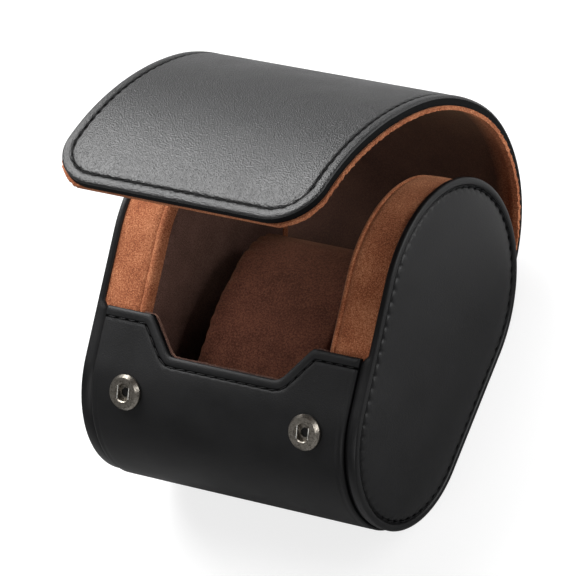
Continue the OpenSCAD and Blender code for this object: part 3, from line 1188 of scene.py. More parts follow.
@dataclass
class Wrap:
    """The leather wrap over front and base, with its front notch and the well's suede."""

    shop: Workshop
    seam: Seam = Seam(inset=2.8, deep=0.3, wide=0.36, puff=0.06, border=0.1, pucker=0.08)
    crease: float = 1.5  # distance of the pressed line from the wrap's sides
    proud: float = 0.4  # how far the suede stands over the notch

    def top(self, x: np.ndarray) -> np.ndarray:
        """Station of the wrap's top edge, which dips at the notch."""
        run = (np.abs(x) - SIZE.notch_bottom) / (SIZE.notch_top - SIZE.notch_bottom)
        return SIZE.tab_s + SIZE.notch_d * (1 - np.clip(run, 0, 1))

    def top_line(self) -> np.ndarray:
        """The top edge as (x, s) points, with its corners eased.

        Returns:
            The points.
        """
        half = SIZE.wrap_w / 2
        x = np.linspace(-half, half, 421)
        near = np.linspace(-1.2, 1.2, 13)
        eased = np.mean([self.top(x + d) for d in near], axis=0)
        return np.stack([x, eased], -1)

    def eased_top(self, x: np.ndarray) -> np.ndarray:
        """Station of the top edge with its corners eased."""
        line = self.top_line()
        return np.interp(x, line[:, 0], line[:, 1])

    def pattern(self) -> Pattern:
        """The wrap's flat pattern, narrowed under the base where the lid goes on from it.

        Returns:
            The pattern.
        """
        half = SIZE.wrap_w / 2
        end = SIZE.rim_l + LEAVE_S
        sides = [np.array([[x, SIZE.tab_s], [x, end + BEYOND_MM]]) for x in (-half, half)]
        narrow = SIZE.lid_w / SIZE.wrap_w

        def taper(s: np.ndarray) -> np.ndarray:
            """Share of the width at each station."""
            return 1 - (1 - narrow) * np.clip(1 + (s - end) / TAPER_MM, 0, 1)

        edges = [self.top_line()[::6], *sides]
        return Pattern(RIM, half, self.eased_top, level(end), edges, taper)

    def columns(self, half: float, near: Sequence[float]) -> np.ndarray:
        """Fractions of the width, fine at the sides and even between."""
        return spaced(near, 2 * half, 0.55) / (2 * half)

    def leather(self) -> Object:
        """The wrap's leather, folded over its board at the top edge, creased along its sides.

        Returns:
            The piece.
        """
        pattern = self.pattern()
        length = SIZE.rim_l + LEAVE_S - (SIZE.tab_s + SIZE.notch_d)
        along = spaced(FINE, length, 1.4, both=False)
        top = pattern.sewn = pattern.edges[:1]

        def relief(x: np.ndarray, s: np.ndarray, edge: np.ndarray) -> np.ndarray:
            """Height of the grained face: seam, pressed line and rounded edge.

            Args:
                x: distances across.
                s: stations.
                edge: distances from the cut edges.

            Returns:
                Heights over the path.
            """
            from_side = pattern.half_w - np.abs(x)
            crease = -0.22 * np.exp(-(((from_side - self.crease) / 0.3) ** 2))
            from_top = pattern.distance(x, s, top)
            sewn = self.seam.groove(x, from_top) * np.clip((12 - from_top) / 4, 0, 1)
            return SIZE.leather_t + sewn + crease + rounded_edge(edge)

        obj = laid_grid(
            pattern,
            self.columns(pattern.half_w, FINE),
            along,
            relief,
            lambda x, s, edge: SIZE.leather_t + 0.45 * np.clip(1.2 - edge, 0, 1),
        )
        finished(obj, "wrap_leather_skin", self.shop.wrap_leather, self.shop.edge_paint)
        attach(obj, "case")
        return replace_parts(obj, "wrap_leather")

    def stitches(self) -> Object:
        """The seam along the wrap's notched top, evenly inside the edge.

        Returns:
            The piece.
        """
        pattern = self.pattern()
        half = SIZE.wrap_w / 2 - 0.8
        x = np.linspace(-half, half, 240)
        s = self.eased_top(x) + 0.6 * self.seam.inset
        for _ in range(8):
            s = s + 0.8 * (self.seam.inset - pattern.distance(x, s, pattern.edges[:1]))
        places = STITCHER.along(pattern, np.stack([x, s], -1), SIZE.leather_t - 0.16)
        obj = STITCHER.sew("wrap_stitches", places)
        dress(obj, self.shop.thread)
        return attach(obj, "case")

    def lining(self) -> Object:
        """The suede inside the wrap, a little proud of the notch.

        Returns:
            The piece.
        """
        half, end = SIZE.well_x, SIZE.rim_l + SIZE.fold_s
        pattern = self.pattern()
        pattern.start = lambda x: self.eased_top(x) - self.proud + 0.1 * wobble(x * 0.6, x * 0.9, 2.0)
        pattern.end = level(end)
        pattern.taper = np.ones_like
        pattern.half_w = half
        length = end - SIZE.tab_s - SIZE.notch_d + self.proud
        along = spaced((0, 0.4, 0.9, 1.6, 2.6, 4), length, 1.4, both=False)
        obj = laid_grid(
            pattern,
            self.columns(half, (0, 0.5, 1.2, 2.2)),
            along,
            lambda x, s, edge: -SIZE.leather_t + 0.05 * wobble(x, s, 3.0),
            lambda x, s, edge: np.full(np.shape(edge), SIZE.suede_t),
        )
        # the lining takes the darker suede: painted shade of the well
        finished(obj, "well_lining_suede", self.shop.inner_suede, self.shop.inner_suede)
        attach(obj, "case")
        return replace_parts(obj, "well_lining")

    def build(self) -> list[Object]:
        """Builds the wrap's pieces."""
        dress(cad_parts["wrap_board"], self.shop.edge_paint)
        return [self.leather(), self.stitches(), self.lining()]


# ---------------------------------------------------------------- side walls


@dataclass
class SideWall:
    """One padded side wall: leather cover, seam, suede band and cheek."""

    shop: Workshop
    side: Side
    bead: float = 1.75  # width of the bead at the rim
    valley: float = 0.9  # depth of the stitched groove inside it
    crown: float = 2.5  # how far the middle of the face stands out
    plump: float = 7.5  # the face rises to that over about this distance
    middle: float = 26.6  # distance of the face's last ring from the rim
    steps: int = 640  # points round the rim
    thread_out: float = 0.42  # height of the thread over the groove's floor
    lean: float = 0.2  # how much narrower the bead is on the straight slope than round the arcs
    stand: float = 0.45  # how far the bead stands over the rim
    sunk: float = 0.78  # how far the suede band lies under it
    pucker: float = 0.45  # how far the stitches' holes draw the leather down
    tuck: float = 2.0  # how much further in the turned leather goes under the wrap
    cover_t: float = 0.7
    band_t: float = 0.35
    cheek_t: float = 0.5

    def outline(self, inset: float) -> np.ndarray:
        """The rim inset by a distance, as (y, z) points at even stations.

        Args:
            inset: the distance.

        Returns:
            The points.
        """
        s = SIZE.rim_l * np.arange(self.steps) / self.steps
        middle = SIZE.slope_s + SIZE.base_l / 2
        near = np.exp(-(((s - middle) / (0.75 * SIZE.base_l)) ** 4))
        reach = np.clip(inset / self.bead, 0, 1) * np.clip((22 - inset) / 16, 0, 1)
        y, z = RIM.at(s, -(inset - self.lean * near * reach))
        return np.stack([y, z], -1)

    def profile(self) -> list[tuple[float, float]]:
        """The cover's section: (inset, x) from the turned edge to the middle of the face.

        Returns:
            The section.
        """
        w, b, v = SIZE.half_w, self.bead, self.valley
        up, turn = self.stand, SIZE.turn_x
        turned = [
            (1.3, turn + 2.15),
            (0.7, turn + 2.05),
            (0.1 - 0.3 * up, turn + 2.15),
            (-0.8 * up, turn + 2.5),
        ]
        bead = []
        for angle in map(math.radians, (84, 72, 60, 46, 32, 18, 4)):
            inset = b * 0.45 * (1 - math.sin(angle)) - up * math.sin(angle)
            bead.append((inset, w - b * 0.45 * (1 - math.cos(angle))))
        folded = ((0.62, 0.05), (0.76, 0.2), (0.84, 0.42), (0.88, 0.44), (0.92, 0.22), (0.96, 0.16))
        fold = [(b * share, w - deep) for share, deep in folded + ((1.0, 0.26), (1.04, 0.62))]
        sewn = ((1.08, 0.92), (1.14, 1.0), (1.22, 0.96), (1.3, 0.72), (1.38, 0.4))
        groove = [(b * share, w - v * deep) for share, deep in sewn]
        start = b * 1.38
        face = []
        for inset in (2.9, 3.5, 4.3, 5.3, 6.4, 7.6, 9.0, 11.0, 13.5, 17.0, 21.0, 24.5, self.middle):
            rise = -0.4 * v + (self.crown + 0.4 * v) * (1 - math.exp(-(inset - start) / self.plump))
            face.append((inset, w + rise))
        return turned + bead + fold + groove + face

    def cover(self) -> Object:
        """The side cover: a loop of the rim, extruded ring by ring to the middle of the face.

        Returns:
            The piece.
        """
        s = SIZE.rim_l * np.arange(self.steps) / self.steps
        bare = np.clip((s - SIZE.fold_s + 3) / 2, 0, 1) * np.clip((SIZE.tab_s + 1 - s) / 2, 0, 1)
        run, _, count = self.seam_line()
        holes = (0.5 + 0.5 * np.cos(2 * math.pi * count * run[:-1] / run[-1])) ** 2
        further = self.tuck * (1 - bare)
        profile = self.profile()
        shares = [1, 1, 0.8, 0.4] + [0] * (len(profile) - 4)
        rings = []
        for (inset, x), share in zip(profile, shares):
            drawn = self.pucker * math.exp(-(((inset - 1.4 * self.bead) / 0.5) ** 2)) * holes
            out = (x - share * further - drawn) * self.side.value
            rings.append(np.column_stack([out, self.outline(inset)]))
        obj = ring_stack(rings)
        offset = -1 if self.outward(obj) else 1
        apply_modifier(obj, "SOLIDIFY", thickness=self.cover_t * MM, offset=offset, use_even_offset=True)
        finished(obj, f"side_cover_skin_{self.side.tag}", self.shop.leather, smooth=60)
        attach(obj, "case")
        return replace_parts(obj, f"side_cover_{self.side.tag}")

    def outward(self, obj: Object) -> bool:
        """Whether the face's last polygon looks away from the well."""
        face = max(obj.data.polygons, key=lambda p: len(p.vertices))
        return face.normal.x * self.side.value > 0

    def seam_line(self) -> tuple[np.ndarray, np.ndarray, int]:
        """The seam's closed line: the way along it, its (y, z) points and its number of stitches.

        Returns:
            The three.
        """
        loop = self.outline(self.bead * 1.19)
        loop = np.concatenate([loop, loop[:1]])
        run = way_along(loop)
        return run, loop, len(STITCHER.spots(run[-1]))

    def stitches(self) -> Object:
        """The seam in the groove round the padded face.

        Returns:
            The piece.
        """
        run, loop, _ = self.seam_line()
        x = (SIZE.half_w - self.valley + self.thread_out) * self.side.value
        places = []
        for at in STITCHER.spots(run[-1]):
            y, z = (np.interp(at, run, loop[:, i]) for i in (0, 1))
            y2, z2 = (np.interp(min(at + 0.4, run[-1]), run, loop[:, i]) for i in (0, 1))
            along = Vector((0, y2 - y, z2 - z)).normalized()
            places.append(placing(Vector((x, y, z)), along, Vector((self.side.value, 0, 0))))
        obj = STITCHER.sew(f"side_stitches_{self.side.tag}", places)
        dress(obj, self.shop.thread)
        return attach(obj, "case")

    def band(self) -> Object:
        """The suede band on the rim, rounded over into the cheek, with a crease by the well.

        Returns:
            The piece.
        """
        inner, width = SIZE.well_x, SIZE.turn_x + 2.5 - SIZE.well_x
        section = [(0, -3.2), (0, -2.2), (0.08, -1.4), (0.35, -0.75), (0.8, -0.42), (1.3, -0.36)]
        section += [(1.7, -0.62), (1.85, -0.85), (2.0, -0.62), (2.4, -0.34), (3.2, -0.24)]
        section += [(4.6, -0.18), (6.2, -0.16), (8.4, -0.16), (10.2, -0.14)]
        section += [(width - 1.2, -0.1), (width, -0.1)]
        xs, outs = np.array(section).T
        index = np.arange(len(section)) / (len(section) - 1)
        end = SIZE.tab_s + 1.2  # a little way under the wrap
        pattern = Pattern(RIM, 1.0, level(SIZE.fold_s), level(end))
        along = np.linspace(0, end - SIZE.fold_s, 150)

        def relief(x: np.ndarray, s: np.ndarray, edge: np.ndarray) -> np.ndarray:
            """Height of the section, a little uneven."""
            return np.interp((x + 1) / 2, index, outs) - self.sunk + 0.04 * wobble(x * 8, s, 1.0)

        obj = laid_grid(pattern, index, along, relief)
        co = coordinates(obj)
        co[:, 0] = (inner + np.interp((co[:, 0] + 1) / 2, index, xs)) * self.side.value
        place(obj, co)
        apply_modifier(obj, "SOLIDIFY", thickness=self.band_t * MM, offset=-1)
        finished(obj, f"rim_band_suede_{self.side.tag}", self.shop.suede, smooth=60)
        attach(obj, "case")
        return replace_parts(obj, f"rim_band_{self.side.tag}")

    def cheek(self) -> Object:
        """The suede panel on the well's wall, soft and slightly full.

        Returns:
            The piece.
        """
        profile = [(1.6, 0.9), (1.9, 0.1), (3.5, 0.02), (6.5, -0.12), (12, -0.25), (19, -0.3), (26, -0.3)]
        rings = []
        for inset, x in profile:
            out = (SIZE.well_x + x) * self.side.value
            rings.append(np.column_stack([np.full(self.steps, out), self.outline(inset)]))
        obj = ring_stack(rings)
        apply_modifier(obj, "SOLIDIFY", thickness=self.cheek_t * MM, offset=1 if self.outward(obj) else -1)
        # the cheek takes the darker suede: painted shade of the well
        finished(obj, f"cheek_suede_{self.side.tag}", self.shop.inner_suede, smooth=60)
        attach(obj, "case")
        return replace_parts(obj, f"cheek_lining_{self.side.tag}", f"cheek_foam_{self.side.tag}")

    def build(self) -> list[Object]:
        """Builds one side wall's pieces and dresses its hidden nodes.

        Returns:
            The pieces.
        """
        tag = self.side.tag
        dress(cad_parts[f"side_pad_{tag}"], self.shop.foam)
        dress(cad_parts[f"side_board_{tag}"], self.shop.board)
        dress(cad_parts[f"rim_filler_{tag}"], self.shop.cord)
        return [self.cover(), self.stitches(), self.band(), self.cheek()]


# ---------------------------------------------------------------- lid


@dataclass
class LidStrip:
    """One strip of the lid between the middles of two bodies, bending over the joint between."""

    shop: Workshop
    index: int
    seam: Seam = Seam(inset=3.0, deep=0.34, wide=0.38, puff=0.1, border=0.14, pucker=0.14)
    reach: float = 8.0  # how far on either side of its joint bend_over measures; nothing is bent by it
    proud: float = 0.55  # how far the suede stands out past the leather
    lip: float = 0.72  # how much thicker the painted edge is than the lid inside it
    stud_r: float = 4.9  # round each stud the suede is thin within this distance

    @property
    def tip(self) -> bool:
        """Whether this is the strip with the lid's front edge."""
        return self.index == len(BENDS) - 1

    @property
    def part(self) -> str:
        """The word for this part of the lid."""
        return LID_PARTS[self.index]

    @property
    def bend(self) -> float:
        """Station of the joint that the strip bends over."""
        return BENDS[self.index]

    @property
    def first(self) -> float:
        """Station where the strip starts.

        Returns:
            The station.
        """
        if self.index == 0:
            return float(FLAP.s[0]) + LEAVE_S
        return (BENDS[self.index - 1] + BENDS[self.index]) / 2

    @property
    def last(self) -> float:
        """Station where the strip ends.

        Returns:
            The station.
        """
        if self.tip:
            return LID_END
        return (BENDS[self.index] + BENDS[self.index + 1]) / 2

    def nose(self, x: np.ndarray, half: float, grow: float) -> np.ndarray:
        """Station of the lid's rounded front edge.

        Args:
            x: distances across.
            half: half the width.
            grow: how far the edge stands out past the leather.

        Returns:
            The stations.
        """
        r = SIZE.corner_r
        over = np.clip(np.abs(x) - (half - r), 0, r)
        return LID_END + grow - (r - np.sqrt(np.maximum(r * r - over**2, 0)))

    def pattern(self, half: float, grow: float = 0.0) -> Pattern:
        """The strip's flat pattern.

        Args:
            half: half the width.
            grow: how far it stands out past the leather in front.

        Returns:
            The pattern.
        """
        turn = np.radians(np.linspace(0, 90, 24))
        r = SIZE.corner_r
        edges = []
        front = LID_END + grow
        beyond = 40  # the side edges go on past the strip's seams
        for sign in (-1, 1):
            bottom = front - r if self.tip else self.last + beyond
            edges.append(np.array([[sign * half, self.first - beyond], [sign * half, bottom]]))
            if self.tip:
                bow = [sign * (half - r + r * np.cos(turn)), front - r + r * np.sin(turn)]
                edges.append(np.stack(bow, -1))
        if self.tip:
            edges.append(np.array([[-half + r, front], [half - r, front]]))
        end = (lambda x: self.nose(x, half, grow)) if self.tip else level(self.last)
        return Pattern(FLAP, half, level(self.first), end, edges)

    def columns(self, half: float, near: Sequence[float], coarse: float) -> np.ndarray:
        """Fractions of the width, fine at the sides and, on the nose, round its corners.

        Args:
            half: half the width.
            near: distances from a side, close together.
            coarse: spacing between them on the nose.

        Returns:
            The fractions.
        """
        x = spaced(near, 2 * half, coarse if self.tip else 2.4) - half
        if self.tip:
            r = SIZE.corner_r
            bow = half - r + r * np.sin(np.radians(np.linspace(0, 88, 34)))
            x = np.array(sorted(set(np.round(np.concatenate([x, bow, -bow]), 3))))
            x = np.array([x[0]] + [b for a, b in zip(x[:-1], x[1:]) if b - a > 0.02])
        return (x + half) / (2 * half)

    def rows(self, near: Sequence[float], grow: float, coarse: float) -> np.ndarray:
        """Distances along the strip, fine at the nose and with a thin last row at each seam.

        Args:
            near: distances from the front edge, close together.
            grow: how far the piece stands out past the leather.
            coarse: spacing between.

        Returns:
            The distances.
        """
        length = self.last + (grow if self.tip else 0) - self.first
        if self.tip:
            return length - spaced(tuple(near), length, coarse, both=False)[::-1]
        inner = np.linspace(0.05, length - 0.05, max(4, int(length / coarse)))
        return np.concatenate([[0], inner, [length]])

    def bend_over(self, obj: Object) -> None:
        """Bakes a piece's placing into its mesh; the ends of its bend are worked out but not used.

        Args:
            obj: the piece.
        """
        before = min(self.reach, self.bend - self.first)
        after = min(self.reach, self.last - self.bend)
        y0, z0 = FLAP.point(self.bend - before)
        y1, z1 = FLAP.point(self.bend + after)
        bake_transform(obj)

    def run(self, x: np.ndarray, s: np.ndarray) -> np.ndarray:
        """Distance run along the seam, up one side, round the nose and down the other.

        Args:
            x: distances across.
            s: stations.

        Returns:
            The distances run.
        """
        r = SIZE.corner_r
        inside = SIZE.lid_w / 2 - r
        past = LID_END - r
        angle = np.arctan2(np.clip(s - past, 0, None), np.clip(np.abs(x) - inside, 1e-6, None))
        side = np.minimum(s, past) + (r - self.seam.inset) * angle
        return side + np.where(np.abs(x) < inside, inside - np.abs(x), 0) * (s > past)

    def thick_edge(self, s: np.ndarray) -> np.ndarray:
        """How much thicker the painted edge is: less where the shut lid lies close on the rim."""
        return self.lip - 0.2 * np.clip((44 - s) / 10, 0, 1)

    def leather(self) -> Object:
        """The leather with its board: grained face, seamed border and painted edge.

        Returns:
            The piece.
        """
        half, part = SIZE.lid_w / 2, self.part
        full = SIZE.leather_t if self.index == 0 else SIZE.leather_t + SIZE.board_t

        def relief(x: np.ndarray, s: np.ndarray, edge: np.ndarray) -> np.ndarray:
            """Height of the grained face."""
            return self.seam.groove(self.run(x, s), edge) + rounded_edge(edge, 0.7, 0.6)

        def depth(x: np.ndarray, s: np.ndarray, edge: np.ndarray) -> np.ndarray:
            """Thickness of the leather and its board, more in the painted edge."""
            lip = self.thick_edge(s) * np.clip(2.1 - edge, 0, 1)
            return full - 0.05 + lip + rounded_edge(edge, 0.7, 0.6)

        obj = laid_grid(
            self.pattern(half),
            self.columns(half, FINE, 0.55),
            self.rows(FINE, 0.0, 0.55),
            relief,
            depth,
        )
        finished(obj, f"lid_leather_skin_{part}", self.shop.lid_leather, self.shop.edge_paint)
        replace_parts(obj, f"lid_{part}_leather")
        if self.index:
            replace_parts(obj, f"lid_{part}_board")
        self.bend_over(obj)
        return obj

    def fringe(self, x: np.ndarray, s: np.ndarray, edge: np.ndarray) -> tuple[np.ndarray, np.ndarray]:
        """Ragged fibres of the suede's cut edge: shifts outwards, strongest at the very edge.

        Args:
            x: distances across.
            s: stations.
            edge: distances from the cut edges.

        Returns:
            Shifts of x and of s.
        """
        r = SIZE.corner_r
        half = SIZE.lid_w / 2 + self.proud
        out_x = np.clip(np.abs(x) - (half - r), 0, None)
        out_s = np.clip(s - (LID_END + self.proud - r), 0, None)
        size = np.hypot(out_x, out_s) + 1e-6
        fray = 0.26 * wobble(0.9 * x, 0.8 * s, 1.0) + 0.14 * wobble(0.4 * x, 0.3 * s, 4.0)
        shift = fray * np.clip(1 - edge / 1.2, 0, 1) ** 0.6
        return shift * np.sign(x) * out_x / size, shift * out_s / size

    def suede(self) -> Object:
        """The suede under the lid, standing proud of the leather with a ragged edge.

        Returns:
            The piece.
        """
        half, part = SIZE.lid_w / 2 + self.proud, self.part
        near = (0, 0.2, 0.5, 0.9, 1.4, 2.0, 3.0, 4.5, 7)
        pattern = self.pattern(half, self.proud)
        pattern.fringe = self.fringe
        top = SIZE.leather_t + SIZE.board_t

        def relief(x: np.ndarray, s: np.ndarray, edge: np.ndarray) -> np.ndarray:
            """Height of the suede's hidden face, tucked under the painted edge."""
            tuck = self.thick_edge(s) * np.clip((2.2 + self.proud - edge) / 0.8, 0, 1)
            return -top - tuck + 0.05 * wobble(1.7 * x, 1.5 * s, 2.0) * np.clip(1 - edge / 2, 0, 1)

        def depth(x: np.ndarray, s: np.ndarray, edge: np.ndarray) -> np.ndarray:
            """Thickness of the suede, less by the fold and pressed thin round the studs.

            Args:
                x: distances across.
                s: stations.
                edge: distances from the cut edges.

            Returns:
                Thicknesses.
            """
            full = SIZE.suede_t + 0.1 * np.clip((2.4 + self.proud - edge) / 0.8, 0, 1)
            full = full - 0.5 * np.clip((26 - s) / 8, 0, 1)
            if not self.tip:
                return full
            off = np.hypot(np.abs(x) - SIZE.stud_x, s - (LID_END - SIZE.stud_edge))
            return full * np.clip((off - self.stud_r) / 0.6, 0.1, 1)

        obj = laid_grid(
            pattern,
            self.columns(half, near, 0.5),
            self.rows(near, self.proud, 0.5),
            relief,
            depth,
        )
        finished(obj, f"lid_suede_{part}", self.shop.lid_suede, self.shop.lid_suede, smooth=60)
        if self.index:
            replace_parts(obj, f"lid_{part}_lining")
        self.bend_over(obj)
        return obj

    def stitches(self) -> Object:
        """The seam round the strip's border.

        Returns:
            The piece.
        """
        inset, half = self.seam.inset, SIZE.lid_w / 2
        pattern = self.pattern(half)
        r = SIZE.corner_r
        bottom = LID_END - r if self.tip else self.last
        side = np.array([[half - inset, self.first], [half - inset, bottom]])
        mirror = np.array([-1, 1])
        height = -0.26  # the thread lies in the groove
        if self.tip:
            turn = np.radians(np.linspace(0, 90, 16))
            bow = np.stack([half - r + (r - inset) * np.cos(turn), bottom + (r - inset) * np.sin(turn)], -1)
            right = np.concatenate([side, bow])
            lines = [np.concatenate([right, right[::-1] * mirror])]
        else:
            lines = [side, side * mirror]
        places = [spot for line in lines for spot in STITCHER.along(pattern, line, height)]
        obj = STITCHER.sew(f"lid_stitches_{self.part}", places)
        dress(obj, self.shop.thread)
        self.bend_over(obj)
        return obj

    def build(self) -> list[Object]:
        """Builds the strip's leather, suede and seam."""
        return [self.leather(), self.suede(), self.stitches()]


# ---------------------------------------------------------------- press studs and pillow


@dataclass
class PressStuds:
    """Sockets on the wrap and studs in the lid, kept from the CAD with plated finishes."""

    shop: Workshop

    def build(self) -> list[Object]:
        """Dresses the press studs' nodes.

        Returns:
            The nodes.
        """
        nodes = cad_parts
        plated = ("socket_rings", "socket_eyelets", "lid_studs", "lid_stud_rivets")
        pieces = [dress(nodes[name], self.shop.metal) for name in plated]
        return [*pieces, dress(nodes["socket_springs"], self.shop.wire)]


@dataclass
class Pillow:
    """The loose pillow: a stuffed suede roll with piped ends."""

    shop: Workshop
    half_w: float = 23.5
    half_l: float = 30.0
    half_h: float = 20.5
    centre_z: float = 23.8
    seam_x: float = 19.5

    def section(self, angle: np.ndarray, inset: float = 0.0) -> tuple[np.ndarray, np.ndarray]:
        """The roll's section, fuller than an ellipse.

        Args:
            angle: angles round the section, in radians.
            inset: distance inside the cover.

        Returns:
            y and z in millimetres.
        """
        c, s = np.cos(angle), np.sin(angle)
        y = (self.half_l - inset) * np.sign(c) * np.abs(c) ** 0.8
        z = (self.half_h - inset) * np.sign(s) * np.abs(s) ** 0.8
        return y, z + self.centre_z

    def body(self) -> Object:
        """The stuffed roll: swollen by cloth pressure, then drawn in along its seams.

        Returns:
            The piece.
        """
        deselect()
        bpy.ops.mesh.primitive_cylinder_add(vertices=64, radius=1, depth=2, end_fill_type="NGON")
        obj = bpy.context.object
        with editing():
            bpy.ops.transform.rotate(value=math.pi / 2, orient_axis="Y", center_override=(0, 0, 0))
        co = coordinates(obj)
        end = self.seam_x - 0.3
        y, z = self.section(np.arctan2(co[:, 2], co[:, 1]), 1.6)
        place(obj, np.stack([np.sign(co[:, 0]) * end, y, z], -1))
        stuff(obj, 2.4, 3.0, lambda p: np.exp(-(((np.abs(p[:, 0]) - self.seam_x) / 1.6) ** 2)))
        apply_modifier(obj, "SUBSURF", levels=1, render_levels=1)
        co = coordinates(obj)
        angle = np.arctan2((co[:, 2] - self.centre_z) / self.half_h, co[:, 1] / self.half_l)
        # the end seam: a groove that gathers the suede in small folds
        near = np.exp(-(((np.abs(co[:, 0]) - self.seam_x) / 0.8) ** 2))
        wide = np.exp(-(((np.abs(co[:, 0]) - self.seam_x) / 4.0) ** 2))
        gather = 0.22 * wide * np.sin(46 * angle + np.sin(5 * angle))
        radial = np.stack([np.zeros(len(co)), np.cos(angle), np.sin(angle)], -1)
        co = co - radial * (0.3 * near + gather)[:, None]
        # kept inside the space of the roll
        y, z = self.section(angle)
        most = np.hypot(y, z - self.centre_z)
        size = np.hypot(co[:, 1], co[:, 2] - self.centre_z)
        shrink = np.minimum(1, most / np.maximum(size, 1e-6))
        co[:, 1] *= shrink
        co[:, 2] = self.centre_z + (co[:, 2] - self.centre_z) * shrink
        co[:, 0] = np.clip(co[:, 0], -self.half_w, self.half_w)
        place(obj, co)
        settle(obj, "pillow_suede", 70)
        # the darker suede stands for the shade that falls on the pillow: painted shade
        dress(obj, self.shop.pillow_suede)
        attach(obj, "pillow")
        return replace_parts(obj, "pillow_cover", "pillow_core", "pillow_end_left", "pillow_end_right")

    def stitches(self, body: Object) -> Object:
        """The seams that close the roll's two ends.

        Args:
            body: the stuffed roll, on whose surface the thread lies.

        Returns:
            Both rows of stitches as one piece.
        """
        co = coordinates(body)
        co[:, 2] -= self.centre_z
        places = []
        for side in Side:
            ring = co[np.abs(co[:, 0] - side.value * self.seam_x) < 0.9]
            turned = np.arctan2(ring[:, 2], ring[:, 1])
            order = np.argsort(turned)
            turned, far = turned[order], np.hypot(ring[order, 1], ring[order, 2])
            far = np.convolve(np.concatenate([far[-2:], far, far[:2]]), np.full(5, 0.2), "valid")
            step = np.linspace(-math.pi, math.pi, 721)
            reach = np.interp(step, turned, far, period=2 * math.pi)
            y, z = reach * np.cos(step), reach * np.sin(step)
            run = way_along(np.stack([y, z], -1))
            for at in STITCHER.spots(run[-1]):
                here, ahead = (
                    Vector((0, np.interp(v, run, y), np.interp(v, run, z))) for v in (at, at + 0.4)
                )
                along = (ahead - here).normalized()
                up = (here.normalized() - along * along.dot(here.normalized())).normalized()
                spot = Vector((side.value * self.seam_x, here.y, here.z + self.centre_z)) + up * 0.05
                places.append(placing(spot, along, up))
        obj = STITCHER.sew("pillow_stitches", places)
        dress(obj, self.shop.brown_thread)
        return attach(obj, "pillow")

    def build(self) -> list[Object]:
        """Builds the pillow."""
        body = self.body()
        return [body, self.stitches(body)]


# ---------------------------------------------------------------- studio


Point = tuple[float, float, float]


def by_ray(
    tree: NodeTree, other: NodeSocket, seen: NodeSocket
) -> NodeSocket:
    """Shows the camera one shader and the other rays another.

    Args:
        tree: the node tree.
        other: the shader that lights the scene.
        seen: the shader that the camera sees.

    Returns:
        The mixed shader.
    """
    rays = add_node(tree, "ShaderNodeLightPath").outputs
    links = {"Fac": rays["Is Camera Ray"], 1: other, 2: seen}
    return add_node(tree, "ShaderNodeMixShader", links).outputs[0]


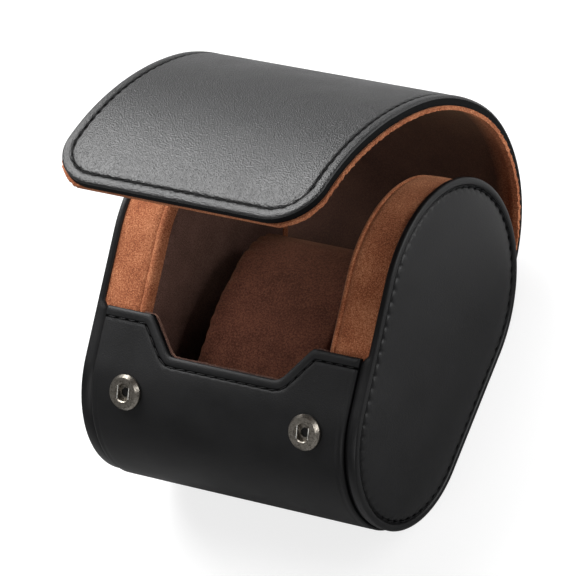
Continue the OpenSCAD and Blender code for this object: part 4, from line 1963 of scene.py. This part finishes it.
@dataclass(frozen=True)
class Studio:
    """Pale floor, soft lamps and the camera."""

    camera_at: Point = (0.70207, -0.37579, 1.10072)
    right: Point = (0.83116, 0.36659, -0.41809)
    up: Point = (-0.17124, 0.88411, 0.43478)
    lens: float = 312.3
    room_light: float = 0.16
    floor_glow: float = 0.74  # lifts the floor to white for the camera

    def camera(self) -> None:
        """Adds the camera."""
        data = bpy.data.cameras.new("camera")
        data.lens = self.lens
        data.sensor_width = 36
        data.clip_end = 20
        obj = bpy.data.objects.new("camera", data)
        bpy.context.scene.collection.objects.link(obj)
        right, up = Vector(self.right).normalized(), Vector(self.up)
        back = right.cross(up).normalized()
        up = back.cross(right)
        turn = Matrix((right, up, back)).transposed().to_4x4()
        obj.matrix_world = Matrix.Translation(self.camera_at) @ turn
        bpy.context.scene.camera = obj

    def lamp(self, name: str, at: Point, target: Point, size: tuple[float, float], power: float) -> None:
        """Adds a soft box.

        Args:
            name: the lamp's name.
            at: its place.
            target: the point that it faces.
            size: its width and height.
            power: its power in watts.
        """
        data = bpy.data.lights.new(name, "AREA")
        data.shape = "RECTANGLE"
        data.size, data.size_y = size
        data.energy = power
        obj = bpy.data.objects.new(name, data)
        bpy.context.scene.collection.objects.link(obj)
        way = Vector(target) - Vector(at)
        obj.matrix_world = Matrix.Translation(at) @ way.to_track_quat("-Z", "Y").to_matrix().to_4x4()

    def floor(self) -> None:
        """Adds the pale floor, white to the camera, with the object's shadow."""
        deselect()
        bpy.ops.mesh.primitive_grid_add(x_subdivisions=8, y_subdivisions=8, size=8)
        obj = bpy.context.object
        obj.name = "floor"
        material = bpy.data.materials.new("pale_floor")
        material.use_nodes = True
        tree = material.node_tree
        tree.nodes.clear()
        mottle = add_node(tree, "ShaderNodeTexNoise", {"Scale": 3.0}).outputs["Fac"]
        paint = ramp(tree, mottle, [(0.0, "#a2a2a2"), (1.0, "#a6a6a6")])
        matt = add_node(tree, "ShaderNodeBsdfDiffuse", {"Color": paint}).outputs[0]
        white = {"Color": linear("#ffffff"), "Strength": self.floor_glow}
        glow = add_node(tree, "ShaderNodeEmission", white).outputs[0]
        lit = add_node(tree, "ShaderNodeAddShader", {0: matt, 1: glow}).outputs[0]
        add_node(tree, "ShaderNodeOutputMaterial", {"Surface": by_ray(tree, matt, lit)})
        dress(obj, material)

    def world(self) -> None:
        """Sets a soft grey room that the camera sees as white."""
        white = linear("#ffffff")
        world = bpy.data.worlds.new("room")
        bpy.context.scene.world = world
        world.use_nodes = True
        tree = world.node_tree
        tree.nodes.clear()
        soft, seen = (
            add_node(tree, "ShaderNodeBackground", {"Color": white, "Strength": strength}).outputs[0]
            for strength in (self.room_light, 1.0)
        )
        add_node(tree, "ShaderNodeOutputWorld", {"Surface": by_ray(tree, soft, seen)})

    def build(self) -> None:
        """Builds the studio."""
        self.camera()
        self.floor()
        self.world()
        aim = (0.0, 0.0, 0.05)
        self.lamp("overhead", (-0.43, 0.42, 0.66), aim, (0.7, 0.8), 15.5)
        self.lamp("front", (0.15, -0.72, 0.62), aim, (0.9, 0.5), 2.4)
        self.lamp("right", (0.46, 0.28, 0.16), (0.46, 0.28, 0.0), (0.5, 0.5), 4.6)
        bpy.context.scene.view_settings.view_transform = "Standard"


def main() -> None:
    """Builds the studio, then the case piece by piece."""
    logging.basicConfig(level=logging.INFO, format="%(name)s: %(message)s")
    Studio().build()
    shop = Workshop()
    assemblies = [Wrap(shop), SideWall(shop, Side.LEFT), SideWall(shop, Side.RIGHT)]
    assemblies += [LidStrip(shop, k) for k in range(len(BENDS))]
    assemblies += [PressStuds(shop), Pillow(shop)]
    for assembly in assemblies:
        for piece in assembly.build():
            log.info("%s: %s, %d faces", type(assembly).__name__, piece.name, len(piece.data.polygons))


if __name__ == "__main__":
    main()
